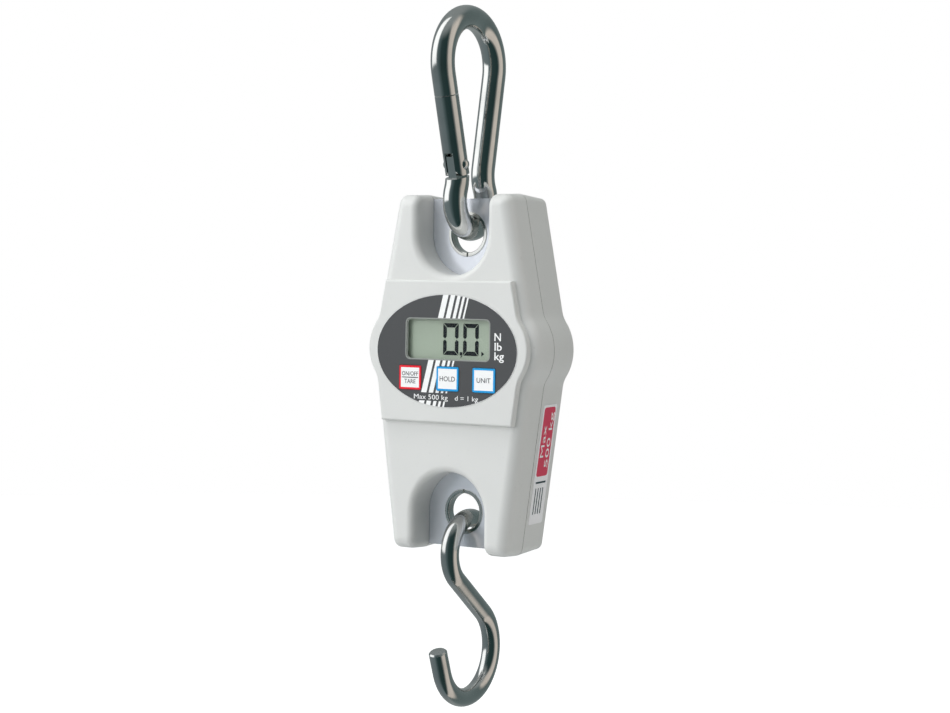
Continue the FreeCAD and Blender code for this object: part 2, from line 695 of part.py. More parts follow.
def s_hook():
    """Upper loop from its rear tip over the eye, a straight run back, then the bowl to its front tip."""
    def place(p):
        return V(0, p[0], p[1])
    eye, bowl = (hook_y, hook_eye_z), (bowl_y, bowl_z)
    apart = math.hypot(bowl[0] - eye[0], bowl[1] - eye[1])
    towards = math.atan2(bowl[1] - eye[1], bowl[0] - eye[0])
    spread = math.acos((hook_eye_r + hook_bowl_r) / apart)
    leave = towards - spread
    arrive = leave + math.pi
    leave_at = (eye[0] + hook_eye_r * math.cos(leave), eye[1] + hook_eye_r * math.sin(leave))
    arrive_at = (bowl[0] + hook_bowl_r * math.cos(arrive), bowl[1] + hook_bowl_r * math.sin(arrive))
    edges = [arc_by_angle(eye, hook_eye_r, 0, math.degrees(leave) + 360, place),
             Part.makeLine(place(leave_at), place(arrive_at)),
             arc_by_angle(bowl, hook_bowl_r, math.degrees(arrive), hook_tip_flare - 180, place)]
    turn = math.radians(hook_tip_flare - 180)
    bowl_end = (bowl[0] + hook_bowl_r * math.cos(turn), bowl[1] + hook_bowl_r * math.sin(turn))
    tip = (bowl_end[0] + hook_tip_length * math.sin(turn), bowl_end[1] - hook_tip_length * math.cos(turn))
    edges.append(Part.makeLine(place(bowl_end), place(tip)))
    hook = bar_along(edges, hook_r)
    ends = (place((eye[0] + hook_eye_r, eye[1])), place(tip))
    rims = [e for e in hook.Edges if isinstance(e.Curve, Part.Circle) and abs(e.Curve.Radius - hook_r) < 1e-4
            and min((e.Curve.Center - end).Length for end in ends) < 1e-3]
    return hook.makeChamfer(0.6, rims)


# ---------------------------------------------------------------- keypad and display
switch_top_y = board_y - 3.4
stem_top_y = switch_top_y - 1.0


def keypad_foil():
    foil = foil_oval(0, (panel_y, panel_y + foil_thickness))
    through = (panel_y - 1, panel_y + foil_thickness + 1)
    foil = foil.cut(window_block(0, through))
    for centre_x in key_xs.values():
        foil = foil.cut(key_block(centre_x, slide_gap, through))
    return foil


def key(name):
    centre_x = key_xs[name]
    z = mid_z + key_up
    flange_y = (panel_inner_y + 0.15, panel_inner_y + 1.05)
    pad = key_block(centre_x, 0, (panel_y - key_proud, flange_y[1]))
    flange = box((centre_x - key_width / 2 - 1, centre_x + key_width / 2 + 1), flange_y,
                 (z - key_height / 2, z + key_height / 2))
    return fuse([pad, flange, rod(1.75, (centre_x, flange_y[1], z), (centre_x, stem_top_y, z))])


def switch_stem(name):
    centre_x = key_xs[name]
    z = mid_z + key_up
    return rod(1.7, (centre_x, stem_top_y, z), (centre_x, switch_top_y + 0.5, z))


def key_switches():
    """Three tact switch bodies, soldered to the board's front."""
    switches = []
    z = mid_z + key_up
    for centre_x in key_xs.values():
        body = box((centre_x - 3, centre_x + 3), (switch_top_y, board_y), (z - 3, z + 3))
        well = rod(1.75, (centre_x, switch_top_y - 1, z), (centre_x, switch_top_y + 1.2, z))
        switches.append(body.cut(well))
    return group(switches)


glass_x = (window_x[0] - 3.2, window_x[1] + 3.2)
glass_z = (mid_z + window_up[0] - 1.6, mid_z + window_up[1] + 3.1)
frame_wall = 1.0


def display_window():
    return window_block(lens_rim, (lens_y, panel_inner_y))


def lcd_glass():
    """Two glass plates; the rear one is shorter, so that the front one has a contact ledge."""
    front = box(glass_x, (glass_y, glass_y + glass_thickness / 2), glass_z)
    rear = box(glass_x, (glass_y + glass_thickness / 2, glass_y + glass_thickness),
               (glass_z[0] + 2.4, glass_z[1] - 2.4))
    return fuse([front, rear])


def zebra_strips():
    y = (glass_y + glass_thickness / 2, board_y)
    x = (glass_x[0] + 1, glass_x[1] - 1)
    return group([box(x, y, (glass_z[0] + 0.2, glass_z[0] + 2.2)),
                  box(x, y, (glass_z[1] - 2.2, glass_z[1] - 0.2))])


def lcd_frame():
    gap = 0.1
    inner_x = (glass_x[0] - gap, glass_x[1] + gap)
    inner_z = (glass_z[0] - gap, glass_z[1] + gap)
    outer_x = (inner_x[0] - frame_wall, inner_x[1] + frame_wall)
    outer_z = (inner_z[0] - frame_wall + 0.2, inner_z[1] + frame_wall)
    frame = box(outer_x, (glass_y + 0.2, board_y), outer_z)
    return frame.cut(box(inner_x, (glass_y - 1, board_y + 1), inner_z))


# ---------------------------------------------------------------- circuit board
header_y = (board_back_y, board_back_y + 5.0)
battery_header_at = (24.4, mid_z + 24.0)
cell_header_at = (-24.4, mid_z + 18.0)


def circuit_board():
    board = rounded_block((-board_half_width, board_half_width), (mid_z + board_up[0], mid_z + board_up[1]),
                          1.5, (board_y, board_back_y))
    for x, z in board_screw_places():
        board = board.cut(rod(board_screw_d / 2 + 0.2, (x, board_y - 1, z), (x, board_back_y + 1, z)))
    return board


def on_board(x, up, half_x, half_z, height):
    z = mid_z + up
    return box((x - half_x, x + half_x), (board_back_y, board_back_y + height), (z - half_z, z + half_z))


def chip(x, up, half_x, half_z, height, leads_along_x, count):
    """A moulded chip with a row of gull-wing leads on two sides."""
    body = on_board(x, up, half_x, half_z, height)
    parts = [body.cut(on_board(x, up, half_x, half_z, 0.15))]
    pitch = 1.27
    for side in (1, -1):
        for i in range(count):
            shift = (i - (count - 1) / 2) * pitch
            if leads_along_x:
                lead = on_board(x + shift, up + side * (half_z + 0.45), 0.2, 0.5, 0.6)
            else:
                lead = on_board(x + side * (half_x + 0.45), up + shift, 0.5, 0.2, 0.6)
            parts.append(lead)
    return fuse(parts)


def controller_chip():
    return chip(2, 6, 6.5, 3.8, 1.5, True, 9)


def amplifier_chip():
    return chip(-14, -6, 2.0, 5.0, 1.4, False, 7)


def board_capacitors():
    return group([on_board(x, up, 1.6, 0.8, 1.0) for x, up in
                  ((-6, 17), (0, 17), (6, 17), (-6, -8), (-6, -11), (16, -4))])


def board_resistors():
    return group([on_board(x, up, 0.8, 0.4, 0.45) for x, up in
                  ((-12, 14), (-12, 16), (12, 15), (12, 13), (2, -4), (5, -4), (8, -4), (2, -7), (5, -7))])


def crystal():
    z = mid_z - 12
    can = on_board(12, -12, 5.0, 1.9, 2.6)
    edges = [e for e in can.Edges if abs(e.tangentAt(e.FirstParameter).y) > 0.99]
    can = can.makeFillet(1.7, edges)
    return can.fuse(box((8.2, 15.8), (board_back_y, board_back_y + 0.4), (z - 2.4, z + 2.4)))


def header(at, half_z):
    x, z = at
    body = box((x - 2.4, x + 2.4), header_y, (z - half_z, z + half_z))
    return body.cut(box((x - 1.4, x + 1.4), (header_y[1] - 3.0, header_y[1] + 1),
                        (z - half_z + 0.8, z + half_z - 0.8)))


def battery_header():
    return header(battery_header_at, 3.2)


def load_cell_header():
    return header(cell_header_at, 4.2)


# ---------------------------------------------------------------- batteries and wiring
cell_y = bay_inner_y + cell_d / 2 + 0.2
cell_xs = (-cell_pitch, 0.0, cell_pitch)
contact_xs = (-cell_pitch, cell_pitch)
contact_tail_half = 1.0
nub_r = 2.7
nub_height = 1.2
low_contact_z = bay_z[0] + contact_thickness
high_contact_z = bay_z[1] - contact_thickness


def upright(i):
    return i % 2 == 0


def battery_cells():
    cells = []
    for i, x in enumerate(cell_xs):
        side = 1 if upright(i) else -1
        tip_z = high_contact_z if upright(i) else low_contact_z
        shoulder_z = tip_z - side * nub_height
        foot_z = tip_z - side * cell_length
        can = rod(cell_d / 2, (x, cell_y, foot_z), (x, cell_y, shoulder_z))
        rims = [e for e in can.Edges if isinstance(e.Curve, Part.Circle)]
        can = can.makeFillet(0.5, rims)
        cells.append(can.fuse(rod(nub_r, (x, cell_y, shoulder_z), (x, cell_y, tip_z))))
    return group(cells)


def battery_springs():
    wire_r = 0.35
    springs = []
    for i, x in enumerate(cell_xs):
        foot_z = low_contact_z if upright(i) else high_contact_z - spring_length
        spring = coil(wire_r, 2.9, spring_length - 2 * wire_r - 0.1, 4)
        spring.translate(V(x, cell_y, foot_z + wire_r + 0.05))
        springs.append(spring)
    return group(springs)


def battery_contacts():
    plates = []
    half = cell_d / 2 - 0.6
    y = (cell_y - half, cell_y + half)
    for x in contact_xs:
        plate = box((x - half, x + half), y, (high_contact_z, bay_z[1]))
        tail = box((x - contact_tail_half, x + contact_tail_half), (cell_y - 0.25, cell_y + 0.25),
                   (high_contact_z, bay_z[1] + bay_wall + 1.2))
        plates.append(plate.fuse(tail))
    plates.append(box((-half, half), y, (high_contact_z, bay_z[1])))
    plates.append(box((-cell_pitch - half, half), y, (bay_z[0], low_contact_z)))
    plates.append(box((cell_pitch - half, cell_pitch + half), y, (bay_z[0], low_contact_z)))
    return group(plates)


def battery_wire(side):
    """From a contact's tail, round the plate's edge, to the board's header."""
    header_x, header_z = battery_header_at
    tail_z = bay_z[1] + bay_wall + 1.2
    end_z = header_z + side * 1.2
    start_x = side * cell_pitch
    if side < 0:
        route = [(start_x, cell_y, tail_z), (start_x, cell_y, tail_z + 1.9),
                 (start_x + 5.0, cell_y + 2.6, tail_z + 1.9), (start_x + 25.0, cell_y + 2.6, tail_z + 1.9),
                 (header_x - 3.0, cell_y + 1.6, tail_z + 0.8)]
    else:
        route = [(start_x, cell_y, tail_z), (start_x, cell_y, tail_z + 3.4),
                 (header_x - 3.0, cell_y - 1.0, tail_z + 3.8)]
    route.append((header_x, cell_y - 3.0, end_z + 0.3 * side))
    route.append((header_x, header_y[1] - 2.5, end_z))
    return tube_path(route, wire_d / 2)


def load_cell_cable():
    """From the gauges in the plate's window, in front of the plate, to the board's header."""
    header_x, header_z = cell_header_at
    lane_y = parting_y - 1.6
    route = [(-6.0, plate_mid_y, mid_z + 1.0), (-8.0, lane_y + 0.4, mid_z + 1.0), (-16.0, lane_y, mid_z + 1.5),
             (header_x, lane_y + 0.5, mid_z + 5.0), (header_x, header_y[1] + 2.2, header_z - 5.0),
             (header_x, header_y[1] + 3.0, header_z), (header_x, header_y[1] - 2.5, header_z)]
    return tube_path(route, cable_d / 2)


# ---------------------------------------------------------------- label on the right side
label_length = 50.5
label_width = 12.2
label_up = -36.9
label_depth = 8.3               # from the parting plane to the label's middle
label_thickness = 0.15


def capacity_label():
    """A thin foil on the rear shell's right side, below the bulge."""
    t, d = math.radians(lower_taper), math.radians(rear_draft)
    shrink = label_depth * math.tan(d)
    rise = label_up + housing_height / 2
    at = V(bottom_half_width + rise * math.tan(t) - shrink / math.cos(t), parting_y + label_depth,
           mid_z + label_up)
    label = box((0, label_thickness), (-label_width / 2, label_width / 2),
                (-label_length / 2, label_length / 2))
    label = label.makeFillet(1.0, [e for e in label.Edges if abs(e.tangentAt(e.FirstParameter).x) > 0.99])
    label.rotate(V(0, 0, 0), Z, rear_draft)
    label.rotate(V(0, 0, 0), Y, lower_taper)
    label.translate(at + V(0.02, 0, 0))
    return label


pieces = {
    "carabiner_body": carabiner_body,
    "carabiner_gate": carabiner_gate,
    "gate_rivet": gate_rivet,
    "gate_latch_pin": gate_latch_pin,
    "gate_plunger": gate_plunger,
    "gate_spring": gate_spring,
    "load_cell_plate": load_cell_plate,
    "strain_gauges": strain_gauges,
    "upper_bush": lambda: bush(upper_eye_z, -1),
    "lower_bush": lambda: bush(lower_eye_z, 1),
    "s_hook": s_hook,
    "load_cell_screws": load_cell_screws,
    "front_shell": front_shell,
    "rear_shell": rear_shell,
    "housing_screws": housing_screws,
    "keypad_foil": keypad_foil,
    "display_window": display_window,
    "capacity_label": capacity_label,
    "lcd_glass": lcd_glass,
    "lcd_frame": lcd_frame,
    "zebra_strips": zebra_strips,
    "power_key": lambda: key("power"),
    "hold_key": lambda: key("hold"),
    "unit_key": lambda: key("unit"),
    "power_switch_stem": lambda: switch_stem("power"),
    "hold_switch_stem": lambda: switch_stem("hold"),
    "unit_switch_stem": lambda: switch_stem("unit"),
    "key_switches": key_switches,
    "circuit_board": circuit_board,
    "controller_chip": controller_chip,
    "amplifier_chip": amplifier_chip,
    "board_capacitors": board_capacitors,
    "board_resistors": board_resistors,
    "crystal": crystal,
    "battery_header": battery_header,
    "load_cell_header": load_cell_header,
    "board_screws": board_screws,
    "battery_door": battery_door,
    "battery_cells": battery_cells,
    "battery_springs": battery_springs,
    "battery_contacts": battery_contacts,
    "battery_wire_red": lambda: battery_wire(1),
    "battery_wire_black": lambda: battery_wire(-1),
    "load_cell_cable": load_cell_cable,
}

os.makedirs("parts", exist_ok=True)
for name, make in pieces.items():
    shape = make()
    shape.exportStep(f"parts/{name}.step")
    solids = shape.Solids
    print(f"{name}: {len(solids)} solid(s), {sum(s.Volume for s in solids):.1f} mm3, valid {shape.isValid()}")
levels = {"upper_eye_z": upper_eye_z, "lower_eye_z": lower_eye_z, "mid_z": mid_z, "plate_mid_y": plate_mid_y,
          "panel_y": panel_y, "back_y": back_y, "bowl_y": bowl_y, "bowl_z": bowl_z, "gate_tilt": gate_tilt}
levels["pivot_y"], levels["pivot_z"] = carabiner_plane(pivot).y, carabiner_plane(pivot).z
levels["door_hinge_z"] = door_z[1]
print({k: round(v, 3) for k, v in levels.items()})
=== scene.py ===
import bmesh
import bpy
import math
from mathutils import Matrix, Vector


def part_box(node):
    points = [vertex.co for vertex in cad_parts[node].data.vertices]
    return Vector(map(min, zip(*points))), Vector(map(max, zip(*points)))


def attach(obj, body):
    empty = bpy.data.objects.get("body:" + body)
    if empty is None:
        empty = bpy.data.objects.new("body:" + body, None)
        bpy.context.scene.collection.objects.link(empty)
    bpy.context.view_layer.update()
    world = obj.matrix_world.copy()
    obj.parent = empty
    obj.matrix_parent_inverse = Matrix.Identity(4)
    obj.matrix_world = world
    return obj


# Looks of the hanging scale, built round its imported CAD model. Lengths in the comments are millimetres.
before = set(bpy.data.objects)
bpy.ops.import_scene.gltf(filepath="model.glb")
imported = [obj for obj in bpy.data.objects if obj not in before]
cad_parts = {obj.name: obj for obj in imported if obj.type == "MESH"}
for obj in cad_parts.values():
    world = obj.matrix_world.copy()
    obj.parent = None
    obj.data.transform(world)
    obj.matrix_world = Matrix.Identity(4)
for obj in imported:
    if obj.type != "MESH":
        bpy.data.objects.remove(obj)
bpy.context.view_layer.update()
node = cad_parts
mm = 0.001

# ---------------------------------------------------------------- camera
# Stands to the right of the display at a bit over arm's length, a little above the middle of the housing.
camera_place = Vector((0.4594, -0.702034, -0.106708))
camera_right = (0.839221, 0.543572, 0.015409)
camera_up = (-0.032279, 0.021509, 0.999247)
camera_back = (0.542831, -0.839087, 0.035597)
camera_data = bpy.data.cameras.new("camera")
camera_data.sensor_width = 36.0
camera_data.lens = 75.79
camera_data.clip_start = 0.05
camera = bpy.data.objects.new("camera", camera_data)
bpy.context.scene.collection.objects.link(camera)
camera_turn = Matrix((camera_right, camera_up, camera_back)).transposed().to_4x4()
camera.matrix_world = Matrix.Translation(camera_place) @ camera_turn
bpy.context.scene.camera = camera

# ---------------------------------------------------------------- studio
# A plain pale floor lies well below the hook. It glows for the camera alone and doesn't show in reflections.
# The camera sees the room as plain white. Reflections see dim walls, with a bright window on the camera's
# left and a tall warm panel on its right.
floor_drop = 0.62
floor_glow = 0.72
bm = bmesh.new()
bmesh.ops.create_circle(bm, cap_ends=True, segments=96, radius=4.0)
bmesh.ops.translate(bm, vec=(0, 0, -floor_drop), verts=bm.verts)
floor_mesh = bpy.data.meshes.new("floor")
bm.to_mesh(floor_mesh)
bm.free()
floor = bpy.data.objects.new("floor", floor_mesh)
bpy.context.scene.collection.objects.link(floor)
floor_paint = bpy.data.materials.new("floor_paint")
floor_paint.use_nodes = True
tree = floor_paint.node_tree
paint = tree.nodes["Principled BSDF"]
paint.inputs["Base Color"].default_value = (0.8, 0.8, 0.8, 1)
paint.inputs["Roughness"].default_value = 0.9
paint.inputs["Specular IOR Level"].default_value = 0.1
paint.inputs["Emission Color"].default_value = (1, 1, 1, 1)
ray = tree.nodes.new("ShaderNodeLightPath")
shown = tree.nodes.new("ShaderNodeMath")
shown.operation = "MULTIPLY"
shown.inputs[1].default_value = floor_glow
tree.links.new(ray.outputs["Is Camera Ray"], shown.inputs[0])
tree.links.new(shown.outputs[0], paint.inputs["Emission Strength"])
floor_mesh.materials.append(floor_paint)
floor.visible_glossy = False
bpy.context.scene.view_settings.view_transform = "Standard"
to_camera = Vector((0.5436, -0.8393, 0))
to_right = Vector((0.8393, 0.5436, 0))
light_aim = Vector((0, 0, -0.15))


def soft_box(name, bearing, height, distance, width, tall, power, colour=(1, 1, 1)):
    """An area light at a bearing in degrees to the right of the camera, as seen from the object."""
    data = bpy.data.lights.new(name, "AREA")
    data.shape = "RECTANGLE"
    data.size, data.size_y = width, tall
    data.energy = power
    data.color = colour
    box = bpy.data.objects.new(name, data)
    bpy.context.scene.collection.objects.link(box)
    turn = math.radians(bearing)
    towards = to_camera * math.cos(turn) + to_right * math.sin(turn)
    place = towards * distance + Vector((0, 0, height))
    aim = light_aim - place
    box.matrix_world = Matrix.Translation(place) @ aim.to_track_quat("-Z", "Y").to_matrix().to_4x4()
    box.visible_camera = False
    box.visible_glossy = False


soft_box("key_box", -60, 0.35, 1.3, 0.8, 1.2, 9.8)
soft_box("top_box", -30, 1.3, 0.35, 0.8, 0.8, 8.0)
soft_box("window_box", 72, 0.1, 1.4, 0.5, 1.3, 2.5, colour=(0.98, 0.99, 1.0))

world = bpy.data.worlds.new("room")
bpy.context.scene.world = world
world.use_nodes = True
tree = world.node_tree
tree.nodes.clear()
direction = tree.nodes.new("ShaderNodeTexCoord")
bearings = []
for axis in (to_camera, to_right):
    dot = tree.nodes.new("ShaderNodeVectorMath")
    dot.operation = "DOT_PRODUCT"
    dot.inputs[1].default_value = axis
    tree.links.new(direction.outputs["Object"], dot.inputs[0])
    bearings.append(dot.outputs["Value"])
turned = tree.nodes.new("ShaderNodeMath")
turned.operation = "ARCTAN2"
tree.links.new(bearings[1], turned.inputs[0])
tree.links.new(bearings[0], turned.inputs[1])
share = tree.nodes.new("ShaderNodeMapRange")
share.inputs["From Min"].default_value = -math.pi
share.inputs["From Max"].default_value = math.pi
tree.links.new(turned.outputs[0], share.inputs["Value"])
room = tree.nodes.new("ShaderNodeValToRGB")
walls = ((-180, (0.30, 0.33, 0.33)), (-130, (0.20, 0.23, 0.24)), (-100, (0.18, 0.22, 0.23)),
         (-60, (0.16, 0.20, 0.21)), (-40, (0.09, 0.13, 0.135)), (-16, (0.03, 0.055, 0.055)),
         (34, (0.02, 0.045, 0.045)), (46, (0.20, 0.21, 0.20)), (56, (0.66, 0.60, 0.54)),
         (88, (0.76, 0.69, 0.62)), (100, (0.12, 0.16, 0.16)), (140, (0.17, 0.21, 0.21)),
         (180, (0.30, 0.33, 0.33)))
ramp = room.color_ramp
for bearing, colour in walls[1:-1]:
    ramp.elements.new((bearing + 180) / 360).color = colour + (1,)
ramp.elements[0].color = walls[0][1] + (1,)
ramp.elements[len(walls) - 1].color = walls[-1][1] + (1,)
tree.links.new(share.outputs["Result"], room.inputs["Fac"])
height = tree.nodes.new("ShaderNodeSeparateXYZ")
tree.links.new(direction.outputs["Object"], height.inputs["Vector"])
overhead = tree.nodes.new("ShaderNodeMapRange")
overhead.interpolation_type = "SMOOTHSTEP"
overhead.inputs["From Min"].default_value = 0.60
overhead.inputs["From Max"].default_value = 0.95
tree.links.new(height.outputs["Z"], overhead.inputs["Value"])
ceiling = tree.nodes.new("ShaderNodeMix")
ceiling.data_type = "RGBA"
ceiling.inputs[7].default_value = (0.30, 0.33, 0.33, 1)
tree.links.new(overhead.outputs["Result"], ceiling.inputs[0])
tree.links.new(room.outputs["Color"], ceiling.inputs[6])
bright = tree.nodes.new("ShaderNodeValToRGB")
panes = ((-122, 0.0), (-114, 1.0), (-68, 1.0), (-56, 0.0))
bright.color_ramp.elements[0].position = 0.0
bright.color_ramp.elements[0].color = (0, 0, 0, 1)
bright.color_ramp.elements[1].position = 1.0
bright.color_ramp.elements[1].color = (0, 0, 0, 1)
for bearing, level in panes:
    bright.color_ramp.elements.new((bearing + 180) / 360).color = (level, level, level, 1)
tree.links.new(share.outputs["Result"], bright.inputs["Fac"])
sill = tree.nodes.new("ShaderNodeMapRange")
sill.interpolation_type = "SMOOTHSTEP"
sill.inputs["From Min"].default_value = -0.08
sill.inputs["From Max"].default_value = 0.03
tree.links.new(height.outputs["Z"], sill.inputs["Value"])
pane_share = tree.nodes.new("ShaderNodeMath")
pane_share.operation = "MULTIPLY"
tree.links.new(bright.outputs["Color"], pane_share.inputs[0])
tree.links.new(sill.outputs["Result"], pane_share.inputs[1])
left_window = tree.nodes.new("ShaderNodeMix")
left_window.data_type = "RGBA"
left_window.inputs[7].default_value = (1.45, 1.47, 1.48, 1)
tree.links.new(pane_share.outputs[0], left_window.inputs[0])
tree.links.new(ceiling.outputs[2], left_window.inputs[6])
lit = tree.nodes.new("ShaderNodeBackground")
tree.links.new(left_window.outputs[2], lit.inputs["Color"])
seen = tree.nodes.new("ShaderNodeBackground")
seen.inputs["Color"].default_value = (1, 1, 1, 1)
ray = tree.nodes.new("ShaderNodeLightPath")
mix = tree.nodes.new("ShaderNodeMixShader")
world_out = tree.nodes.new("ShaderNodeOutputWorld")
tree.links.new(ray.outputs["Is Camera Ray"], mix.inputs["Fac"])
tree.links.new(lit.outputs["Background"], mix.inputs[1])
tree.links.new(seen.outputs["Background"], mix.inputs[2])
tree.links.new(mix.outputs["Shader"], world_out.inputs["Surface"])


# ---------------------------------------------------------------- carabiner body
# A 10 mm stainless bar bent to a pear shape and tumbled bright, with a fork tang and a latch slot milled in
# its ends. Drawing leaves faint lines, handling leaves light scratches and a slightly duller film.
def new_group(name, inputs, outputs):
    group = bpy.data.node_groups.new(name, "ShaderNodeTree")
    for socket, kind, value in inputs:
        made = group.interface.new_socket(socket, in_out="INPUT", socket_type=kind)
        if value is not None:
            made.default_value = value
    for socket, kind in outputs:
        group.interface.new_socket(socket, in_out="OUTPUT", socket_type=kind)
    return group, group.nodes.new("NodeGroupInput"), group.nodes.new("NodeGroupOutput")


def noise(tree, vector, scale, detail, roughness=0.5):
    made = tree.nodes.new("ShaderNodeTexNoise")
    made.inputs["Scale"].default_value = scale
    made.inputs["Detail"].default_value = detail
    made.inputs["Roughness"].default_value = roughness
    tree.links.new(vector, made.inputs["Vector"])
    return made.outputs["Fac"]


def arithmetic(tree, operation, a, b=None, c=None):
    made = tree.nodes.new("ShaderNodeMath")
    made.operation = operation
    for socket, value in zip(made.inputs, (a, b, c)):
        if value is None:
            continue
        if isinstance(value, (int, float)):
            socket.default_value = value
        else:
            tree.links.new(value, socket)
    return made.outputs[0]


def mixed(tree, factor, a, b):
    made = tree.nodes.new("ShaderNodeMix")
    made.data_type = "RGBA"
    for name, value in (("Factor", factor), ("A", a), ("B", b)):
        socket = [s for s in made.inputs if s.name == name and (s.type == "RGBA" or name == "Factor")][0]
        if isinstance(value, tuple):
            socket.default_value = value if len(value) == 4 else value + (1,)
        elif isinstance(value, (int, float)):
            socket.default_value = value
        else:
            tree.links.new(value, socket)
    return [s for s in made.outputs if s.type == "RGBA"][0]


def remapped(tree, value, low, high, to_low, to_high):
    made = tree.nodes.new("ShaderNodeMapRange")
    made.inputs["From Min"].default_value = low
    made.inputs["From Max"].default_value = high
    made.inputs["To Min"].default_value = to_low
    made.inputs["To Max"].default_value = to_high
    tree.links.new(value, made.inputs["Value"])
    return made.outputs["Result"]


drawn_steel, group_in, group_out = new_group("drawn_steel", [
    ("Vector", "NodeSocketVector", None), ("Color", "NodeSocketColor", (0.6, 0.6, 0.6, 1)),
    ("Film", "NodeSocketColor", (0.4, 0.4, 0.4, 1)), ("Roughness", "NodeSocketFloat", 0.15),
    ("Scratches", "NodeSocketFloat", 0.1)],
    [("Color", "NodeSocketColor"), ("Roughness", "NodeSocketFloat"), ("Height", "NodeSocketFloat")])
stretch = drawn_steel.nodes.new("ShaderNodeMapping")
stretch.inputs["Scale"].default_value = (1, 1, 0.08)
drawn_steel.links.new(group_in.outputs["Vector"], stretch.inputs["Vector"])
film = noise(drawn_steel, group_in.outputs["Vector"], 90, 4)
specks = noise(drawn_steel, group_in.outputs["Vector"], 1500, 2)
lines = noise(drawn_steel, stretch.outputs["Vector"], 2600, 3)
film_mask = remapped(drawn_steel, film, 0.45, 0.75, 0, 1)
line_mask = remapped(drawn_steel, lines, 0.55, 0.75, 0, 1)
film_share = arithmetic(drawn_steel, "MULTIPLY", film_mask, 0.35)
tint = mixed(drawn_steel, film_share, group_in.outputs["Color"], group_in.outputs["Film"])
drawn_steel.links.new(tint, group_out.inputs["Color"])
rough = arithmetic(drawn_steel, "MULTIPLY_ADD", film_mask, 0.06, group_in.outputs["Roughness"])
rough = arithmetic(drawn_steel, "MULTIPLY_ADD", line_mask, group_in.outputs["Scratches"], rough)
rough = arithmetic(drawn_steel, "MULTIPLY_ADD", specks, 0.03, rough)
drawn_steel.links.new(rough, group_out.inputs["Roughness"])
steel_relief = arithmetic(drawn_steel, "MULTIPLY_ADD", specks, 0.3, line_mask)
drawn_steel.links.new(steel_relief, group_out.inputs["Height"])


def finish_material(name, group, values, bump, **fixed):
    """A material whose colour, roughness and relief come from one of the surface groups."""
    material = bpy.data.materials.new(name)
    material.use_nodes = True
    tree = material.node_tree
    shader = tree.nodes["Principled BSDF"]
    place = tree.nodes.new("ShaderNodeTexCoord")
    surface = tree.nodes.new("ShaderNodeGroup")
    surface.node_tree = group
    tree.links.new(place.outputs["Object"], surface.inputs["Vector"])
    for socket, value in values.items():
        surface.inputs[socket].default_value = value if not isinstance(value, tuple) else value + (1,)
    tree.links.new(surface.outputs["Color"], shader.inputs["Base Color"])
    tree.links.new(surface.outputs["Roughness"], shader.inputs["Roughness"])
    relief = tree.nodes.new("ShaderNodeBump")
    relief.inputs["Strength"].default_value = bump[0]
    relief.inputs["Distance"].default_value = bump[1]
    tree.links.new(surface.outputs["Height"], relief.inputs["Height"])
    tree.links.new(relief.outputs["Normal"], shader.inputs["Normal"])
    for socket, value in fixed.items():
        shader.inputs[socket.replace("_", " ")].default_value = value
    return material


def steel(name, colour, roughness, scratches, film=(0.36, 0.37, 0.36), bump=(0.12, 0.00002)):
    return finish_material(name, drawn_steel, {"Color": colour, "Film": film, "Roughness": roughness,
                                               "Scratches": scratches}, bump, Metallic=1.0)


def wear(node_name, material):
    """Gives a carried-over piece its finish."""
    slots = node[node_name].material_slots
    for slot in slots:
        slot.material = material


bent_bar = steel("bent_bar_steel", (0.68, 0.685, 0.67), 0.075, 0.04)
wear("carabiner_body", bent_bar)

# ---------------------------------------------------------------- carabiner gate
# A turned and slotted stainless rod; it is brighter than the bar because it is polished on its own.
# The rivet and the latch pin are headed and pressed in; the plunger and spring hide in its bore.
gate_steel = steel("gate_steel", (0.64, 0.65, 0.64), 0.07, 0.04)
wear("carabiner_gate", gate_steel)
rivet_steel = steel("rivet_steel", (0.70, 0.70, 0.68), 0.16, 0.08)
for name in ("gate_rivet", "gate_latch_pin", "gate_plunger"):
    wear(name, rivet_steel)
wear("gate_spring", steel("spring_wire", (0.42, 0.42, 0.42), 0.25, 0.10))

# ---------------------------------------------------------------- load cell plate
# A flat bar of steel, ground and polished, with an eye at each end for the bent bars.
# It shows bright and slightly blue at the bottom of both recesses; a metal value below one keeps it so.
plate_finish = {"Color": (0.88, 0.90, 0.97), "Film": (0.80, 0.82, 0.92), "Roughness": 0.20, "Scratches": 0.02}
wear("load_cell_plate",
     finish_material("ground_plate", drawn_steel, plate_finish, (0.03, 0.00001), Metallic=0.60))

# ---------------------------------------------------------------- strain gauges
# Four foils of amber polyimide with an etched metal grid, glued to the measuring window's walls.
foil_grid, group_in, group_out = new_group("foil_grid", [
    ("Vector", "NodeSocketVector", None), ("Color", "NodeSocketColor", (0.7, 0.45, 0.15, 1)),
    ("Grid", "NodeSocketColor", (0.5, 0.5, 0.5, 1)), ("Roughness", "NodeSocketFloat", 0.35)],
    [("Color", "NodeSocketColor"), ("Roughness", "NodeSocketFloat"), ("Height", "NodeSocketFloat")])
apart = foil_grid.nodes.new("ShaderNodeSeparateXYZ")
foil_grid.links.new(group_in.outputs["Vector"], apart.inputs["Vector"])
grid_rate = 16000
waves = arithmetic(foil_grid, "SINE", arithmetic(foil_grid, "MULTIPLY", apart.outputs["Y"], grid_rate))
tracks = arithmetic(foil_grid, "GREATER_THAN", waves, 0.1)
grid_colour = mixed(foil_grid, tracks, group_in.outputs["Color"], group_in.outputs["Grid"])
foil_grid.links.new(grid_colour, group_out.inputs["Color"])
foil_grid.links.new(group_in.outputs["Roughness"], group_out.inputs["Roughness"])
foil_grid.links.new(tracks, group_out.inputs["Height"])
gauge_finish = {"Color": (0.55, 0.30, 0.07), "Grid": (0.45, 0.42, 0.36), "Roughness": 0.35}
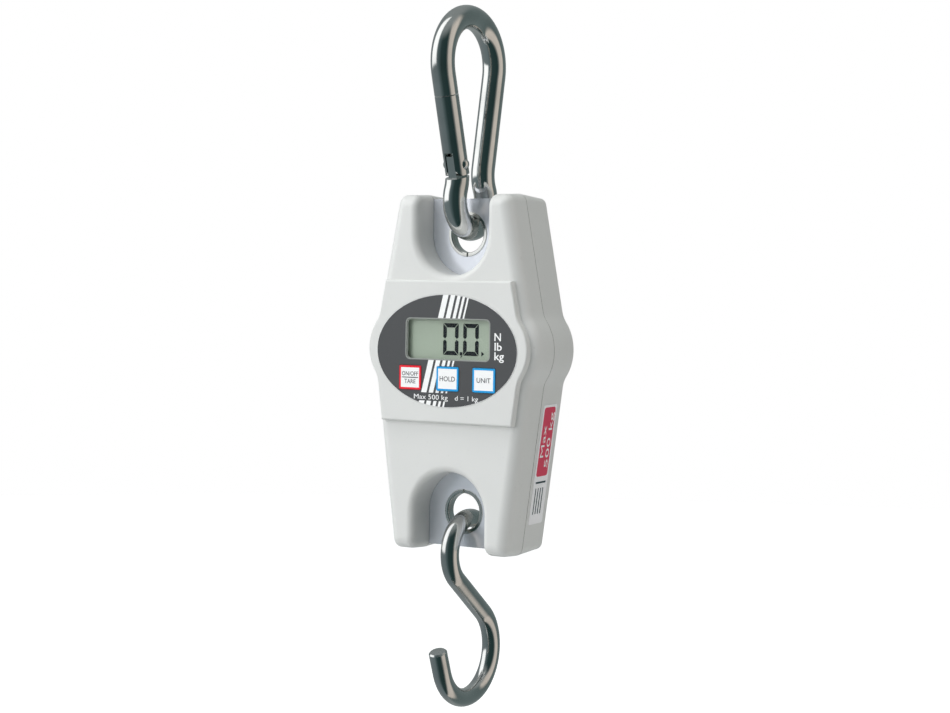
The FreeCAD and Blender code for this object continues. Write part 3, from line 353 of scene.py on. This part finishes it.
wear("strain_gauges", finish_material("gauge_foil", foil_grid, gauge_finish, (0.2, 0.00002)))

# ---------------------------------------------------------------- bushes
# Hard rings rolled from chromed strip, so each has a slit; they take the wear of the bent bars.
bush_steel = steel("bush_steel", (0.74, 0.74, 0.72), 0.12, 0.06, film=(0.5, 0.47, 0.42))
wear("upper_bush", bush_steel)
wear("lower_bush", bush_steel)

# ---------------------------------------------------------------- S-hook
# An 8 mm stainless bar bent in two loops, cut square and deburred at its tips.
wear("s_hook", steel("hook_steel", (0.66, 0.665, 0.655), 0.10, 0.06))

# ---------------------------------------------------------------- load cell screws
# Zinc-plated pan head screws that hold the plate to the rear shell.
screw_zinc = steel("screw_zinc", (0.55, 0.56, 0.58), 0.28, 0.12, film=(0.42, 0.42, 0.38))
wear("load_cell_screws", screw_zinc)


# ---------------------------------------------------------------- front shell
# Light warm grey ABS, injection moulded with a fine spark-eroded grain, 2.2 mm thick.
# The grain is rubbed smoother in broad patches, and a thin dark line runs along the seam with the rear shell:
# painted shade in the joint, with some dust.
def srgb(r, g, b):
    return tuple((c / 255 / 12.92) if c <= 10 else ((c / 255 + 0.055) / 1.055) ** 2.4 for c in (r, g, b))


moulded, group_in, group_out = new_group("moulded_grain", [
    ("Vector", "NodeSocketVector", None), ("Color", "NodeSocketColor", (0.7, 0.7, 0.7, 1)),
    ("Rubbed", "NodeSocketColor", (0.75, 0.75, 0.75, 1)), ("Dust", "NodeSocketColor", (0.5, 0.5, 0.45, 1)),
    ("Roughness", "NodeSocketFloat", 0.5), ("Grain", "NodeSocketFloat", 2200),
    ("Rub", "NodeSocketFloat", 0.06)],
    [("Color", "NodeSocketColor"), ("Roughness", "NodeSocketFloat"), ("Height", "NodeSocketFloat")])
fine = moulded.nodes.new("ShaderNodeTexNoise")
fine.inputs["Detail"].default_value = 2
moulded.links.new(group_in.outputs["Vector"], fine.inputs["Vector"])
moulded.links.new(group_in.outputs["Grain"], fine.inputs["Scale"])
broad = noise(moulded, group_in.outputs["Vector"], 24, 3)
specks = noise(moulded, group_in.outputs["Vector"], 420, 5, 0.65)
rubbed = remapped(moulded, broad, 0.25, 0.8, 0, 1)
dusty = remapped(moulded, specks, 0.62, 0.80, 0, 0.35)
tone = mixed(moulded, rubbed, group_in.outputs["Color"], group_in.outputs["Rubbed"])
moulded.links.new(mixed(moulded, dusty, tone, group_in.outputs["Dust"]), group_out.inputs["Color"])
rub = arithmetic(moulded, "MULTIPLY", rubbed, group_in.outputs["Rub"])
rough = arithmetic(moulded, "SUBTRACT", group_in.outputs["Roughness"], rub)
moulded.links.new(arithmetic(moulded, "MULTIPLY_ADD", dusty, 0.15, rough), group_out.inputs["Roughness"])
moulded.links.new(fine.outputs["Fac"], group_out.inputs["Height"])


def moulding(name, colour, roughness=0.5, rubbed=None, dust=(0.40, 0.38, 0.34), grain=2200,
             bump=(0.12, 0.00004), rub=0.06, **fixed):
    """A moulded or printed finish, with a colour for its rubbed patches and one for specks of dust."""
    rubbed = rubbed or tuple(min(c * 1.04, 1) for c in colour)
    values = {"Color": colour, "Rubbed": rubbed, "Dust": dust, "Roughness": roughness, "Grain": grain,
              "Rub": rub}
    return finish_material(name, moulded, values, bump, **fixed)


casing_colour = (0.72, 0.722, 0.71)
casing = moulding("casing_plastic", casing_colour, 0.42, dust=(0.52, 0.51, 0.48))
seam_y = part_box("load_cell_plate")[0].y
tree = casing.node_tree
shader = tree.nodes["Principled BSDF"]
clean = shader.inputs["Base Color"].links[0].from_socket
place = tree.nodes.new("ShaderNodeTexCoord")
apart = tree.nodes.new("ShaderNodeSeparateXYZ")
tree.links.new(place.outputs["Object"], apart.inputs["Vector"])
seam_half_width = 0.16 * mm
# A 0.32 mm band at the seam is painted darker: painted shade in the joint between the shells, with some dust.
seam = arithmetic(tree, "COMPARE", apart.outputs["Y"], seam_y, seam_half_width)
seam_shade_and_dust = mixed(tree, arithmetic(tree, "MULTIPLY", seam, 0.75), clean, (0.20, 0.19, 0.17))
tree.links.new(seam_shade_and_dust, shader.inputs["Base Color"])
wear("front_shell", casing)

# ---------------------------------------------------------------- keypad foil
# A 0.5 mm polyester foil, printed dark grey from behind with five white slanted stripes and a thin white rim.
# It lies in a shallow oval pocket of the panel, with openings for the display and the three keys.
foil_low, foil_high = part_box("keypad_foil")
panel_y = foil_low.y
middle_z = (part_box("front_shell")[0].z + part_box("front_shell")[1].z) / 2
foil_centre = Vector((0, panel_y, (foil_low.z + foil_high.z) / 2))
foil_half = (foil_high.x, (foil_high.z - foil_low.z) / 2)
stripe_slope = 0.2545
stripe_edges = (-10.0, -7.32, -6.21, -3.98, -2.83, -1.25, -0.16, 1.02, 2.17, 2.98)
legend_band = (-11.3, -7.9)
foil_dark = srgb(80, 81, 83)
foil_print = moulding("foil_print", foil_dark, 0.42, rubbed=tuple(c * 1.03 for c in foil_dark),
                      dust=(0.12, 0.12, 0.12), grain=5200, bump=(0.03, 0.00001), rub=0.01,
                      Specular_IOR_Level=0.25)
tree = foil_print.node_tree
shader = tree.nodes["Principled BSDF"]
surface_colour = shader.inputs["Base Color"].links[0].from_socket
place = tree.nodes.new("ShaderNodeTexCoord")
apart = tree.nodes.new("ShaderNodeSeparateXYZ")
tree.links.new(place.outputs["Object"], apart.inputs["Vector"])
x, z = apart.outputs["X"], apart.outputs["Z"]
up = arithmetic(tree, "SUBTRACT", z, middle_z)
across = arithmetic(tree, "MULTIPLY_ADD", up, -stripe_slope, x)
stripes = None
for low, high in zip(stripe_edges[::2], stripe_edges[1::2]):
    centre, half = (low + high) / 2 * mm, (high - low) / 2 * mm
    stripe = arithmetic(tree, "COMPARE", across, centre, half)
    stripes = stripe if stripes is None else arithmetic(tree, "MAXIMUM", stripes, stripe)
band = arithmetic(tree, "COMPARE", up, sum(legend_band) / 2 * mm, (legend_band[1] - legend_band[0]) / 2 * mm)
stripes = arithmetic(tree, "MULTIPLY", stripes, arithmetic(tree, "SUBTRACT", 1, band))
rim_width = 0.12 * mm
ex = arithmetic(tree, "DIVIDE", x, foil_half[0] - rim_width)
ez = arithmetic(tree, "DIVIDE", arithmetic(tree, "SUBTRACT", z, foil_centre.z), foil_half[1] - rim_width)
beyond = arithmetic(tree, "ADD", arithmetic(tree, "MULTIPLY", ex, ex), arithmetic(tree, "MULTIPLY", ez, ez))
rim = arithmetic(tree, "GREATER_THAN", beyond, 1)
printed = arithmetic(tree, "MAXIMUM", stripes, rim)
window_x, window_up, window_corner = (-19.8, 21.2), (6.2, 22.7), 1.8
window_rim = 0.5
off = []
for at, span in ((x, window_x), (up, window_up)):
    past = arithmetic(tree, "ABSOLUTE", arithmetic(tree, "SUBTRACT", at, sum(span) / 2 * mm))
    past = arithmetic(tree, "SUBTRACT", past, ((span[1] - span[0]) / 2 - window_corner) * mm)
    past = arithmetic(tree, "MAXIMUM", past, 0)
    off.append(arithmetic(tree, "MULTIPLY", past, past))
off_corner = arithmetic(tree, "ADD", off[0], off[1])
window_edge = arithmetic(tree, "LESS_THAN", off_corner, ((window_corner + window_rim) * mm) ** 2)
inked = mixed(tree, printed, surface_colour, srgb(252, 252, 252))
tree.links.new(mixed(tree, window_edge, inked, srgb(150, 154, 150)), shader.inputs["Base Color"])
wear("keypad_foil", foil_print)

# ---------------------------------------------------------------- printed legends
# White units beside the display and a capacity line under the keys, printed on the foil.
print_height = 0.04 * mm
capital_height = 0.70
white_ink = moulding("white_ink", srgb(252, 252, 252), 0.35, grain=6000, bump=(0.04, 0.00001))
housing_face = {"origin": Vector((0, panel_y, middle_z)), "right": Vector((1, 0, 0)), "up": Vector((0, 0, 1))}


def legend(name, lines, face, material, body):
    """Raised print, set flush left. Each line is (text, x, up, height, width, weight), with its place and
    size in mm on the face, and a line without text is a plain bar."""
    parts = bmesh.new()
    right, upward = face["right"], face["up"]
    outward = right.cross(upward)
    for text, at_x, at_up, height, width, weight in lines:
        if not text:
            far_x, top = at_x + width, at_up + height
            ends = [(at_x, at_up), (far_x, at_up), (far_x, top), (at_x, top)]
            flat = [parts.verts.new(face["origin"] + right * a * mm + upward * b * mm) for a, b in ends]
            grown = bmesh.ops.extrude_face_region(parts, geom=[parts.faces.new(flat)])["geom"]
            raised = [g for g in grown if isinstance(g, bmesh.types.BMVert)]
            bmesh.ops.translate(parts, vec=outward * print_height, verts=raised)
            continue
        curve = bpy.data.curves.new(name, "FONT")
        curve.body = text
        curve.size = 1.0
        curve.offset = weight
        curve.extrude = 0.5
        curve.resolution_u = 3
        written = bpy.data.objects.new(name, curve)
        bpy.context.scene.collection.objects.link(written)
        bpy.context.view_layer.update()
        mesh = bpy.data.meshes.new_from_object(written)
        bpy.data.objects.remove(written)
        xs = [v.co.x for v in mesh.vertices]
        across = width / (max(xs) - min(xs)) * mm
        shift = min(xs)
        for v in mesh.vertices:
            flat_x = (v.co.x - shift) * across + at_x * mm
            flat_up = v.co.y * height / capital_height * mm + at_up * mm
            v.co = face["origin"] + right * flat_x + upward * flat_up + outward * (v.co.z * print_height)
        parts.from_mesh(mesh)
    bmesh.ops.remove_doubles(parts, verts=parts.verts, dist=1e-6)
    bmesh.ops.recalc_face_normals(parts, faces=parts.faces)
    mesh = bpy.data.meshes.new(name)
    parts.to_mesh(mesh)
    parts.free()
    mesh.materials.append(material)
    piece = bpy.data.objects.new(name, mesh)
    bpy.context.scene.collection.objects.link(piece)
    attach(piece, body)


unit_words = [("N", 23.8, 14.5, 3.2, 3.1, 0.012), ("lb", 23.9, 10.55, 3.2, 3.5, 0.012),
              ("kg", 23.9, 6.7, 3.2, 4.6, 0.012)]
legend("unit_legends", unit_words, housing_face, white_ink, "housing")
capacity_words = [("Max 500 kg", -15.6, -10.7, 2.05, 17.0, 0.0), ("d = 1 kg", 4.9, -10.7, 2.05, 11.4, 0.0)]
legend("capacity_line", capacity_words, housing_face, white_ink, "housing")

# ---------------------------------------------------------------- display window
# A 1 mm clear acrylic pane cemented into a rebate behind the panel's opening.
pane = finish_material("clear_pane", moulded, {"Color": (0.30, 0.34, 0.31), "Rubbed": (0.32, 0.36, 0.33),
                                               "Dust": (0.5, 0.5, 0.48), "Roughness": 0.05, "Grain": 900},
                       (0.01, 0.00001), Alpha=0.03)
wear("display_window", pane)

# ---------------------------------------------------------------- display glass
# A grey-green liquid crystal cell, faintly mottled. Its dark segments are thin plates on its front face.
cell_colour = srgb(168, 181, 164)
wear("lcd_glass", moulding("display_cell", cell_colour, 0.22, rubbed=tuple(c * 1.05 for c in cell_colour),
                           dust=tuple(c * 0.9 for c in cell_colour), grain=3200, bump=(0.03, 0.00001)))
glass_face_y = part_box("lcd_glass")[0].y
segment_width = 1.75
digit_size = (7.6, 13.2)
digit_places = ((-2.95, 7.9), (6.98, 7.9))
segment_gap = 0.18
segment_thickness = 0.06
segment_dark = (0.004, 0.007, 0.011)
segments_ink = moulding("segment_ink", segment_dark, 0.4, rubbed=segment_dark, dust=(0.01, 0.012, 0.015),
                        grain=4000, bump=(0.02, 0.00001), Specular_IOR_Level=0.05)


def flat_shape(bm, corners):
    """A thin plate on the glass, with its outline in mm across and up from the middle of the housing."""
    verts = [bm.verts.new((x * mm, glass_face_y, middle_z + up * mm)) for x, up in corners]
    grown = bmesh.ops.extrude_face_region(bm, geom=[bm.faces.new(verts)])["geom"]
    raised = [g for g in grown if isinstance(g, bmesh.types.BMVert)]
    bmesh.ops.translate(bm, vec=(0, -segment_thickness * mm, 0), verts=raised)


def zero_digit(bm, x0, z0):
    """The six lit bars of a seven-segment zero, mitred where they meet."""
    w, h = digit_size
    t, g = segment_width, segment_gap
    half = h / 2
    lower, upper = half - t / 2, half + t / 2
    bars = [
        [(g, h), (w - g, h), (w - t - g, h - t), (t + g, h - t)],
        [(g, 0), (w - g, 0), (w - t - g, t), (t + g, t)],
        [(0, h - g), (t, h - t - g), (t, upper + g), (t / 2, half + g), (0, upper)],
        [(w, h - g), (w - t, h - t - g), (w - t, upper + g), (w - t / 2, half + g), (w, upper)],
        [(0, g), (t, t + g), (t, lower - g), (t / 2, half - g), (0, lower)],
        [(w, g), (w - t, t + g), (w - t, lower - g), (w - t / 2, half - g), (w, lower)],
    ]
    for bar in bars:
        flat_shape(bm, [(x0 + a, z0 + b) for a, b in bar])


bm = bmesh.new()
for x0, z0 in digit_places:
    zero_digit(bm, x0, z0)
point_x, point_z = 5.55, 7.9
point_dot = ((-0.2, 0), (1.1, 0), (1.1, 1.4), (-0.2, 1.4))
point_tail = ((0.4, -0.15), (1.1, -0.15), (0.3, -1.1))
for outline in (point_dot, point_tail):
    flat_shape(bm, [(point_x + a, point_z + b) for a, b in outline])
steady_mark = [(16.0, 7.8), (17.4, 8.8), (16.0, 9.8)]
flat_shape(bm, steady_mark)
bmesh.ops.recalc_face_normals(bm, faces=bm.faces)
digits_mesh = bpy.data.meshes.new("display_digits")
bm.to_mesh(digits_mesh)
bm.free()
digits_mesh.materials.append(segments_ink)
digits = bpy.data.objects.new("display_digits", digits_mesh)
bpy.context.scene.collection.objects.link(digits)
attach(digits, "housing")

# ---------------------------------------------------------------- display frame and zebra strips
# A white moulded frame keeps the cell in line with the board; two striped rubber strips carry its contacts.
wear("lcd_frame", moulding("frame_white", (0.80, 0.80, 0.78), 0.45))
zebra, group_in, group_out = new_group("zebra_layers", [
    ("Vector", "NodeSocketVector", None), ("Color", "NodeSocketColor", (0.6, 0.6, 0.6, 1)),
    ("Carbon", "NodeSocketColor", (0.02, 0.02, 0.02, 1)), ("Roughness", "NodeSocketFloat", 0.7)],
    [("Color", "NodeSocketColor"), ("Roughness", "NodeSocketFloat"), ("Height", "NodeSocketFloat")])
apart = zebra.nodes.new("ShaderNodeSeparateXYZ")
zebra.links.new(group_in.outputs["Vector"], apart.inputs["Vector"])
layer_rate = 18000
waves = arithmetic(zebra, "SINE", arithmetic(zebra, "MULTIPLY", apart.outputs["X"], layer_rate))
layers = arithmetic(zebra, "GREATER_THAN", waves, 0)
layer_colour = mixed(zebra, layers, group_in.outputs["Color"], group_in.outputs["Carbon"])
zebra.links.new(layer_colour, group_out.inputs["Color"])
zebra.links.new(group_in.outputs["Roughness"], group_out.inputs["Roughness"])
zebra.links.new(layers, group_out.inputs["Height"])
zebra_finish = {"Color": (0.5, 0.48, 0.5), "Carbon": (0.03, 0.03, 0.03), "Roughness": 0.7}
wear("zebra_strips", finish_material("zebra_rubber", zebra, zebra_finish, (0.1, 0.00002)))

# ---------------------------------------------------------------- keys
# Three white caps that stand 0.25 mm proud, each printed with a coloured frame and a grey legend.
key_white = srgb(252, 252, 253)
key_grey = srgb(44, 47, 56)
frame_width = 0.85 * mm
key_half_width = 5.45 * mm
key_face = {}


def key_finish(name, node_name, frame_colour):
    """A white cap whose frame follows the cap's own edge."""
    low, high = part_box(node_name)
    centre_x = (low.x + high.x) / 2
    half_z = (high.z - low.z) / 2
    centre_z = (low.z + high.z) / 2
    material = moulding(name, key_white, 0.34, rubbed=tuple(c * 0.98 for c in key_white), grain=4200,
                        bump=(0.05, 0.00002))
    tree = material.node_tree
    shader = tree.nodes["Principled BSDF"]
    plain = shader.inputs["Base Color"].links[0].from_socket
    place = tree.nodes.new("ShaderNodeTexCoord")
    apart = tree.nodes.new("ShaderNodeSeparateXYZ")
    tree.links.new(place.outputs["Object"], apart.inputs["Vector"])
    dx = arithmetic(tree, "ABSOLUTE", arithmetic(tree, "SUBTRACT", apart.outputs["X"], centre_x))
    dz = arithmetic(tree, "ABSOLUTE", arithmetic(tree, "SUBTRACT", apart.outputs["Z"], centre_z))
    near = arithmetic(tree, "MAXIMUM", arithmetic(tree, "GREATER_THAN", dx, key_half_width - frame_width),
                      arithmetic(tree, "GREATER_THAN", dz, half_z - frame_width))
    tree.links.new(mixed(tree, near, plain, frame_colour), shader.inputs["Base Color"])
    wear(node_name, material)
    key_face[node_name] = {"origin": Vector((centre_x, low.y, centre_z)), "right": Vector((1, 0, 0)),
                           "up": Vector((0, 0, 1))}


key_finish("power_key_print", "power_key", srgb(240, 0, 40))
key_finish("hold_key_print", "hold_key", srgb(0, 158, 228))
key_finish("unit_key_print", "unit_key", srgb(0, 158, 228))
grey_ink = moulding("grey_ink", key_grey, 0.4, grain=6000, bump=(0.04, 0.00001))
legend("power_key_legend", [("ON/OFF", -4.1, 0.75, 1.75, 8.2, 0.008), ("", -4.1, -0.15, 0.35, 8.2, 0.0),
                            ("TARE", -2.8, -2.45, 1.75, 5.6, 0.008)],
       key_face["power_key"], grey_ink, "power_button")
legend("hold_key_legend", [("HOLD", -3.8, -0.95, 2.0, 7.6, 0.006)],
       key_face["hold_key"], grey_ink, "hold_button")
legend("unit_key_legend", [("UNIT", -3.4, -0.95, 2.0, 6.8, 0.006)],
       key_face["unit_key"], grey_ink, "unit_button")

# ---------------------------------------------------------------- key switches
# Tact switches on the board with black bodies and black plungers under the keys' stems.
black_moulding = moulding("black_moulding", (0.02, 0.02, 0.021), 0.5, dust=(0.08, 0.08, 0.08))
for name in ("key_switches", "power_switch_stem", "hold_switch_stem", "unit_switch_stem"):
    wear(name, black_moulding)

# ---------------------------------------------------------------- circuit board
# A 1.6 mm glass-epoxy board with green solder mask over copper tracks, and its chips, can and headers.
laminate, group_in, group_out = new_group("solder_mask", [
    ("Vector", "NodeSocketVector", None), ("Color", "NodeSocketColor", (0.02, 0.2, 0.08, 1)),
    ("Track", "NodeSocketColor", (0.05, 0.3, 0.12, 1)), ("Roughness", "NodeSocketFloat", 0.3)],
    [("Color", "NodeSocketColor"), ("Roughness", "NodeSocketFloat"), ("Height", "NodeSocketFloat")])
cells = laminate.nodes.new("ShaderNodeTexBrick")
cells.inputs["Scale"].default_value = 160
cells.inputs["Mortar Size"].default_value = 0.06
cells.inputs["Color1"].default_value = (0, 0, 0, 1)
cells.inputs["Color2"].default_value = (0, 0, 0, 1)
cells.inputs["Mortar"].default_value = (1, 1, 1, 1)
turned = laminate.nodes.new("ShaderNodeMapping")
turned.inputs["Rotation"].default_value = (math.radians(90), 0, 0)
laminate.links.new(group_in.outputs["Vector"], turned.inputs["Vector"])
laminate.links.new(turned.outputs["Vector"], cells.inputs["Vector"])
track_colour = mixed(laminate, cells.outputs["Color"], group_in.outputs["Color"], group_in.outputs["Track"])
laminate.links.new(track_colour, group_out.inputs["Color"])
laminate.links.new(group_in.outputs["Roughness"], group_out.inputs["Roughness"])
laminate.links.new(cells.outputs["Fac"], group_out.inputs["Height"])
board_finish = {"Color": (0.015, 0.16, 0.06), "Track": (0.04, 0.26, 0.10), "Roughness": 0.3}
wear("circuit_board", finish_material("board_mask", laminate, board_finish, (0.15, 0.00003)))
chip_black = moulding("chip_compound", (0.025, 0.025, 0.028), 0.6, dust=(0.07, 0.07, 0.07), grain=3500)
for name in ("controller_chip", "amplifier_chip", "board_resistors"):
    wear(name, chip_black)
wear("board_capacitors", moulding("chip_ceramic", (0.42, 0.30, 0.18), 0.55, grain=4000))
wear("crystal", steel("crystal_can", (0.66, 0.66, 0.63), 0.22, 0.06))
header_nylon = moulding("header_nylon", (0.80, 0.77, 0.66), 0.5)
wear("battery_header", header_nylon)
wear("load_cell_header", header_nylon)
wear("board_screws", screw_zinc)

# ---------------------------------------------------------------- rear shell
# The same grained ABS as the front; the battery bay and the screw bosses are moulded in.
wear("rear_shell", casing)
wear("housing_screws", screw_zinc)

# ---------------------------------------------------------------- batteries
# Three AAA cells in printed steel cans, with nickel-plated contacts and coil springs.
wrapper, group_in, group_out = new_group("cell_wrapper", [
    ("Vector", "NodeSocketVector", None), ("Color", "NodeSocketColor", (0.05, 0.2, 0.15, 1)),
    ("Band", "NodeSocketColor", (0.6, 0.6, 0.6, 1)), ("Middle", "NodeSocketFloat", 0.0),
    ("Roughness", "NodeSocketFloat", 0.3)],
    [("Color", "NodeSocketColor"), ("Roughness", "NodeSocketFloat"), ("Height", "NodeSocketFloat")])
apart = wrapper.nodes.new("ShaderNodeSeparateXYZ")
wrapper.links.new(group_in.outputs["Vector"], apart.inputs["Vector"])
sleeve_half_length = 12.5 * mm
along = arithmetic(wrapper, "SUBTRACT", apart.outputs["Z"], group_in.outputs["Middle"])
banded = arithmetic(wrapper, "GREATER_THAN", arithmetic(wrapper, "ABSOLUTE", along), sleeve_half_length)
scuffs = noise(wrapper, group_in.outputs["Vector"], 700, 4)
wrapper_colour = mixed(wrapper, banded, group_in.outputs["Color"], group_in.outputs["Band"])
wrapper.links.new(wrapper_colour, group_out.inputs["Color"])
scuffed = arithmetic(wrapper, "MULTIPLY_ADD", scuffs, 0.15, group_in.outputs["Roughness"])
wrapper.links.new(scuffed, group_out.inputs["Roughness"])
wrapper.links.new(scuffs, group_out.inputs["Height"])
cells_low, cells_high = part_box("battery_cells")
cell_finish = {"Color": (0.03, 0.16, 0.12), "Band": (0.55, 0.56, 0.56),
               "Middle": (cells_low.z + cells_high.z) / 2, "Roughness": 0.22}
wear("battery_cells", finish_material("cell_wrapper", wrapper, cell_finish, (0.04, 0.00001), Metallic=0.7))
nickel = steel("nickel_plate", (0.62, 0.59, 0.52), 0.20, 0.08)
wear("battery_contacts", nickel)
wear("battery_springs", nickel)

# ---------------------------------------------------------------- wires
# PVC insulated leads from the bay to the board, and the sheathed cable of the gauges.
wear("battery_wire_red", moulding("red_pvc", (0.42, 0.015, 0.015), 0.4, dust=(0.3, 0.1, 0.1), grain=1500))
wear("battery_wire_black",
     moulding("black_pvc", (0.018, 0.018, 0.018), 0.4, dust=(0.06, 0.06, 0.06), grain=1500))
wear("load_cell_cable", moulding("grey_pvc", (0.26, 0.26, 0.27), 0.45, grain=1500))

# ---------------------------------------------------------------- capacity label
# A satin silver foil stuck on the rear shell's right side, with a red field above and plain dark lines below.
label_low, label_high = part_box("capacity_label")
label_middle = (label_low + label_high) / 2
side_taper, side_draft = math.radians(7.65), math.radians(4.0)
label_turn = Matrix.Rotation(side_taper, 3, "Y") @ Matrix.Rotation(side_draft, 3, "Z")
label_half_thickness = 0.075 * mm
label_face = {"origin": label_middle + label_turn @ Vector((label_half_thickness, 0, 0)),
              "right": label_turn @ Vector((0, 0, 1)), "up": label_turn @ Vector((0, -1, 0))}
red_field = (-5.0, 24.2, -5.0, 5.0)
label_silver = srgb(250, 248, 252)
label_print = moulding("label_print", label_silver, 0.38, rubbed=srgb(253, 252, 254), dust=(0.5, 0.5, 0.5),
                       grain=3000, bump=(0.05, 0.00002))
tree = label_print.node_tree
shader = tree.nodes["Principled BSDF"]
silver = shader.inputs["Base Color"].links[0].from_socket
place = tree.nodes.new("ShaderNodeTexCoord")
straight = []
for axis in ("right", "up"):
    dot = tree.nodes.new("ShaderNodeVectorMath")
    dot.operation = "DOT_PRODUCT"
    dot.inputs[1].default_value = label_face[axis]
    tree.links.new(place.outputs["Object"], dot.inputs[0])
    start = label_face["origin"].dot(label_face[axis])
    straight.append(arithmetic(tree, "SUBTRACT", dot.outputs["Value"], start))
red_corner = 1.4 * mm
past = []
for at, low, high in ((straight[0], red_field[0], red_field[1]), (straight[1], red_field[2], red_field[3])):
    off = arithmetic(tree, "ABSOLUTE", arithmetic(tree, "SUBTRACT", at, (low + high) / 2 * mm))
    off = arithmetic(tree, "SUBTRACT", off, (high - low) / 2 * mm - red_corner)
    off = arithmetic(tree, "MAXIMUM", off, 0)
    past.append(arithmetic(tree, "MULTIPLY", off, off))
red = arithmetic(tree, "LESS_THAN", arithmetic(tree, "ADD", past[0], past[1]), red_corner ** 2)
tree.links.new(mixed(tree, red, silver, srgb(222, 66, 96)), shader.inputs["Base Color"])
wear("capacity_label", label_print)
label_words = [("Max", 3.0, 0.9, 3.0, 13.5, 0.0), ("500 kg", -1.6, -3.9, 3.0, 23.5, 0.0)]
legend("label_capacity", label_words, label_face, white_ink, "housing")
dark_ink = moulding("dark_ink", (0.02, 0.05, 0.06), 0.4, grain=6000, bump=(0.04, 0.00001))
label_bars = [("", -8.0, -4.4, 8.8, 0.8, 0.0)]
label_bars += [("", -21.0, 3.2 - 2.1 * i, 0.7, 11.0, 0.0) for i in range(4)]
legend("label_lines", label_bars, label_face, dark_ink, "housing")

# ---------------------------------------------------------------- battery door
# A flush moulded cover on two tabs, with grip grooves and a raised arrow that shows where to press.
wear("battery_door", casing)
door_low, door_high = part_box("battery_door")
arrow_z = door_low.z + 20 * mm
arrow_height = 0.35 * mm
bm = bmesh.new()
verts = [bm.verts.new((x * mm, door_high.y, arrow_z + up * mm)) for x, up in ((-3, 3), (3, 3), (0, -2))]
grown = bmesh.ops.extrude_face_region(bm, geom=[bm.faces.new(verts)])["geom"]
raised = [g for g in grown if isinstance(g, bmesh.types.BMVert)]
bmesh.ops.translate(bm, vec=(0, arrow_height, 0), verts=raised)
top_edges = [e for e in bm.edges if all(v.co.y > door_high.y + arrow_height / 2 for v in e.verts)]
bmesh.ops.bevel(bm, geom=top_edges, offset=0.12 * mm, affect="EDGES", segments=2, profile=0.5, material=-1)
bmesh.ops.recalc_face_normals(bm, faces=bm.faces)
arrow_mesh = bpy.data.meshes.new("door_arrow")
bm.to_mesh(arrow_mesh)
bm.free()
arrow_mesh.materials.append(casing)
arrow = bpy.data.objects.new("door_arrow", arrow_mesh)
bpy.context.scene.collection.objects.link(arrow)
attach(arrow, "door")
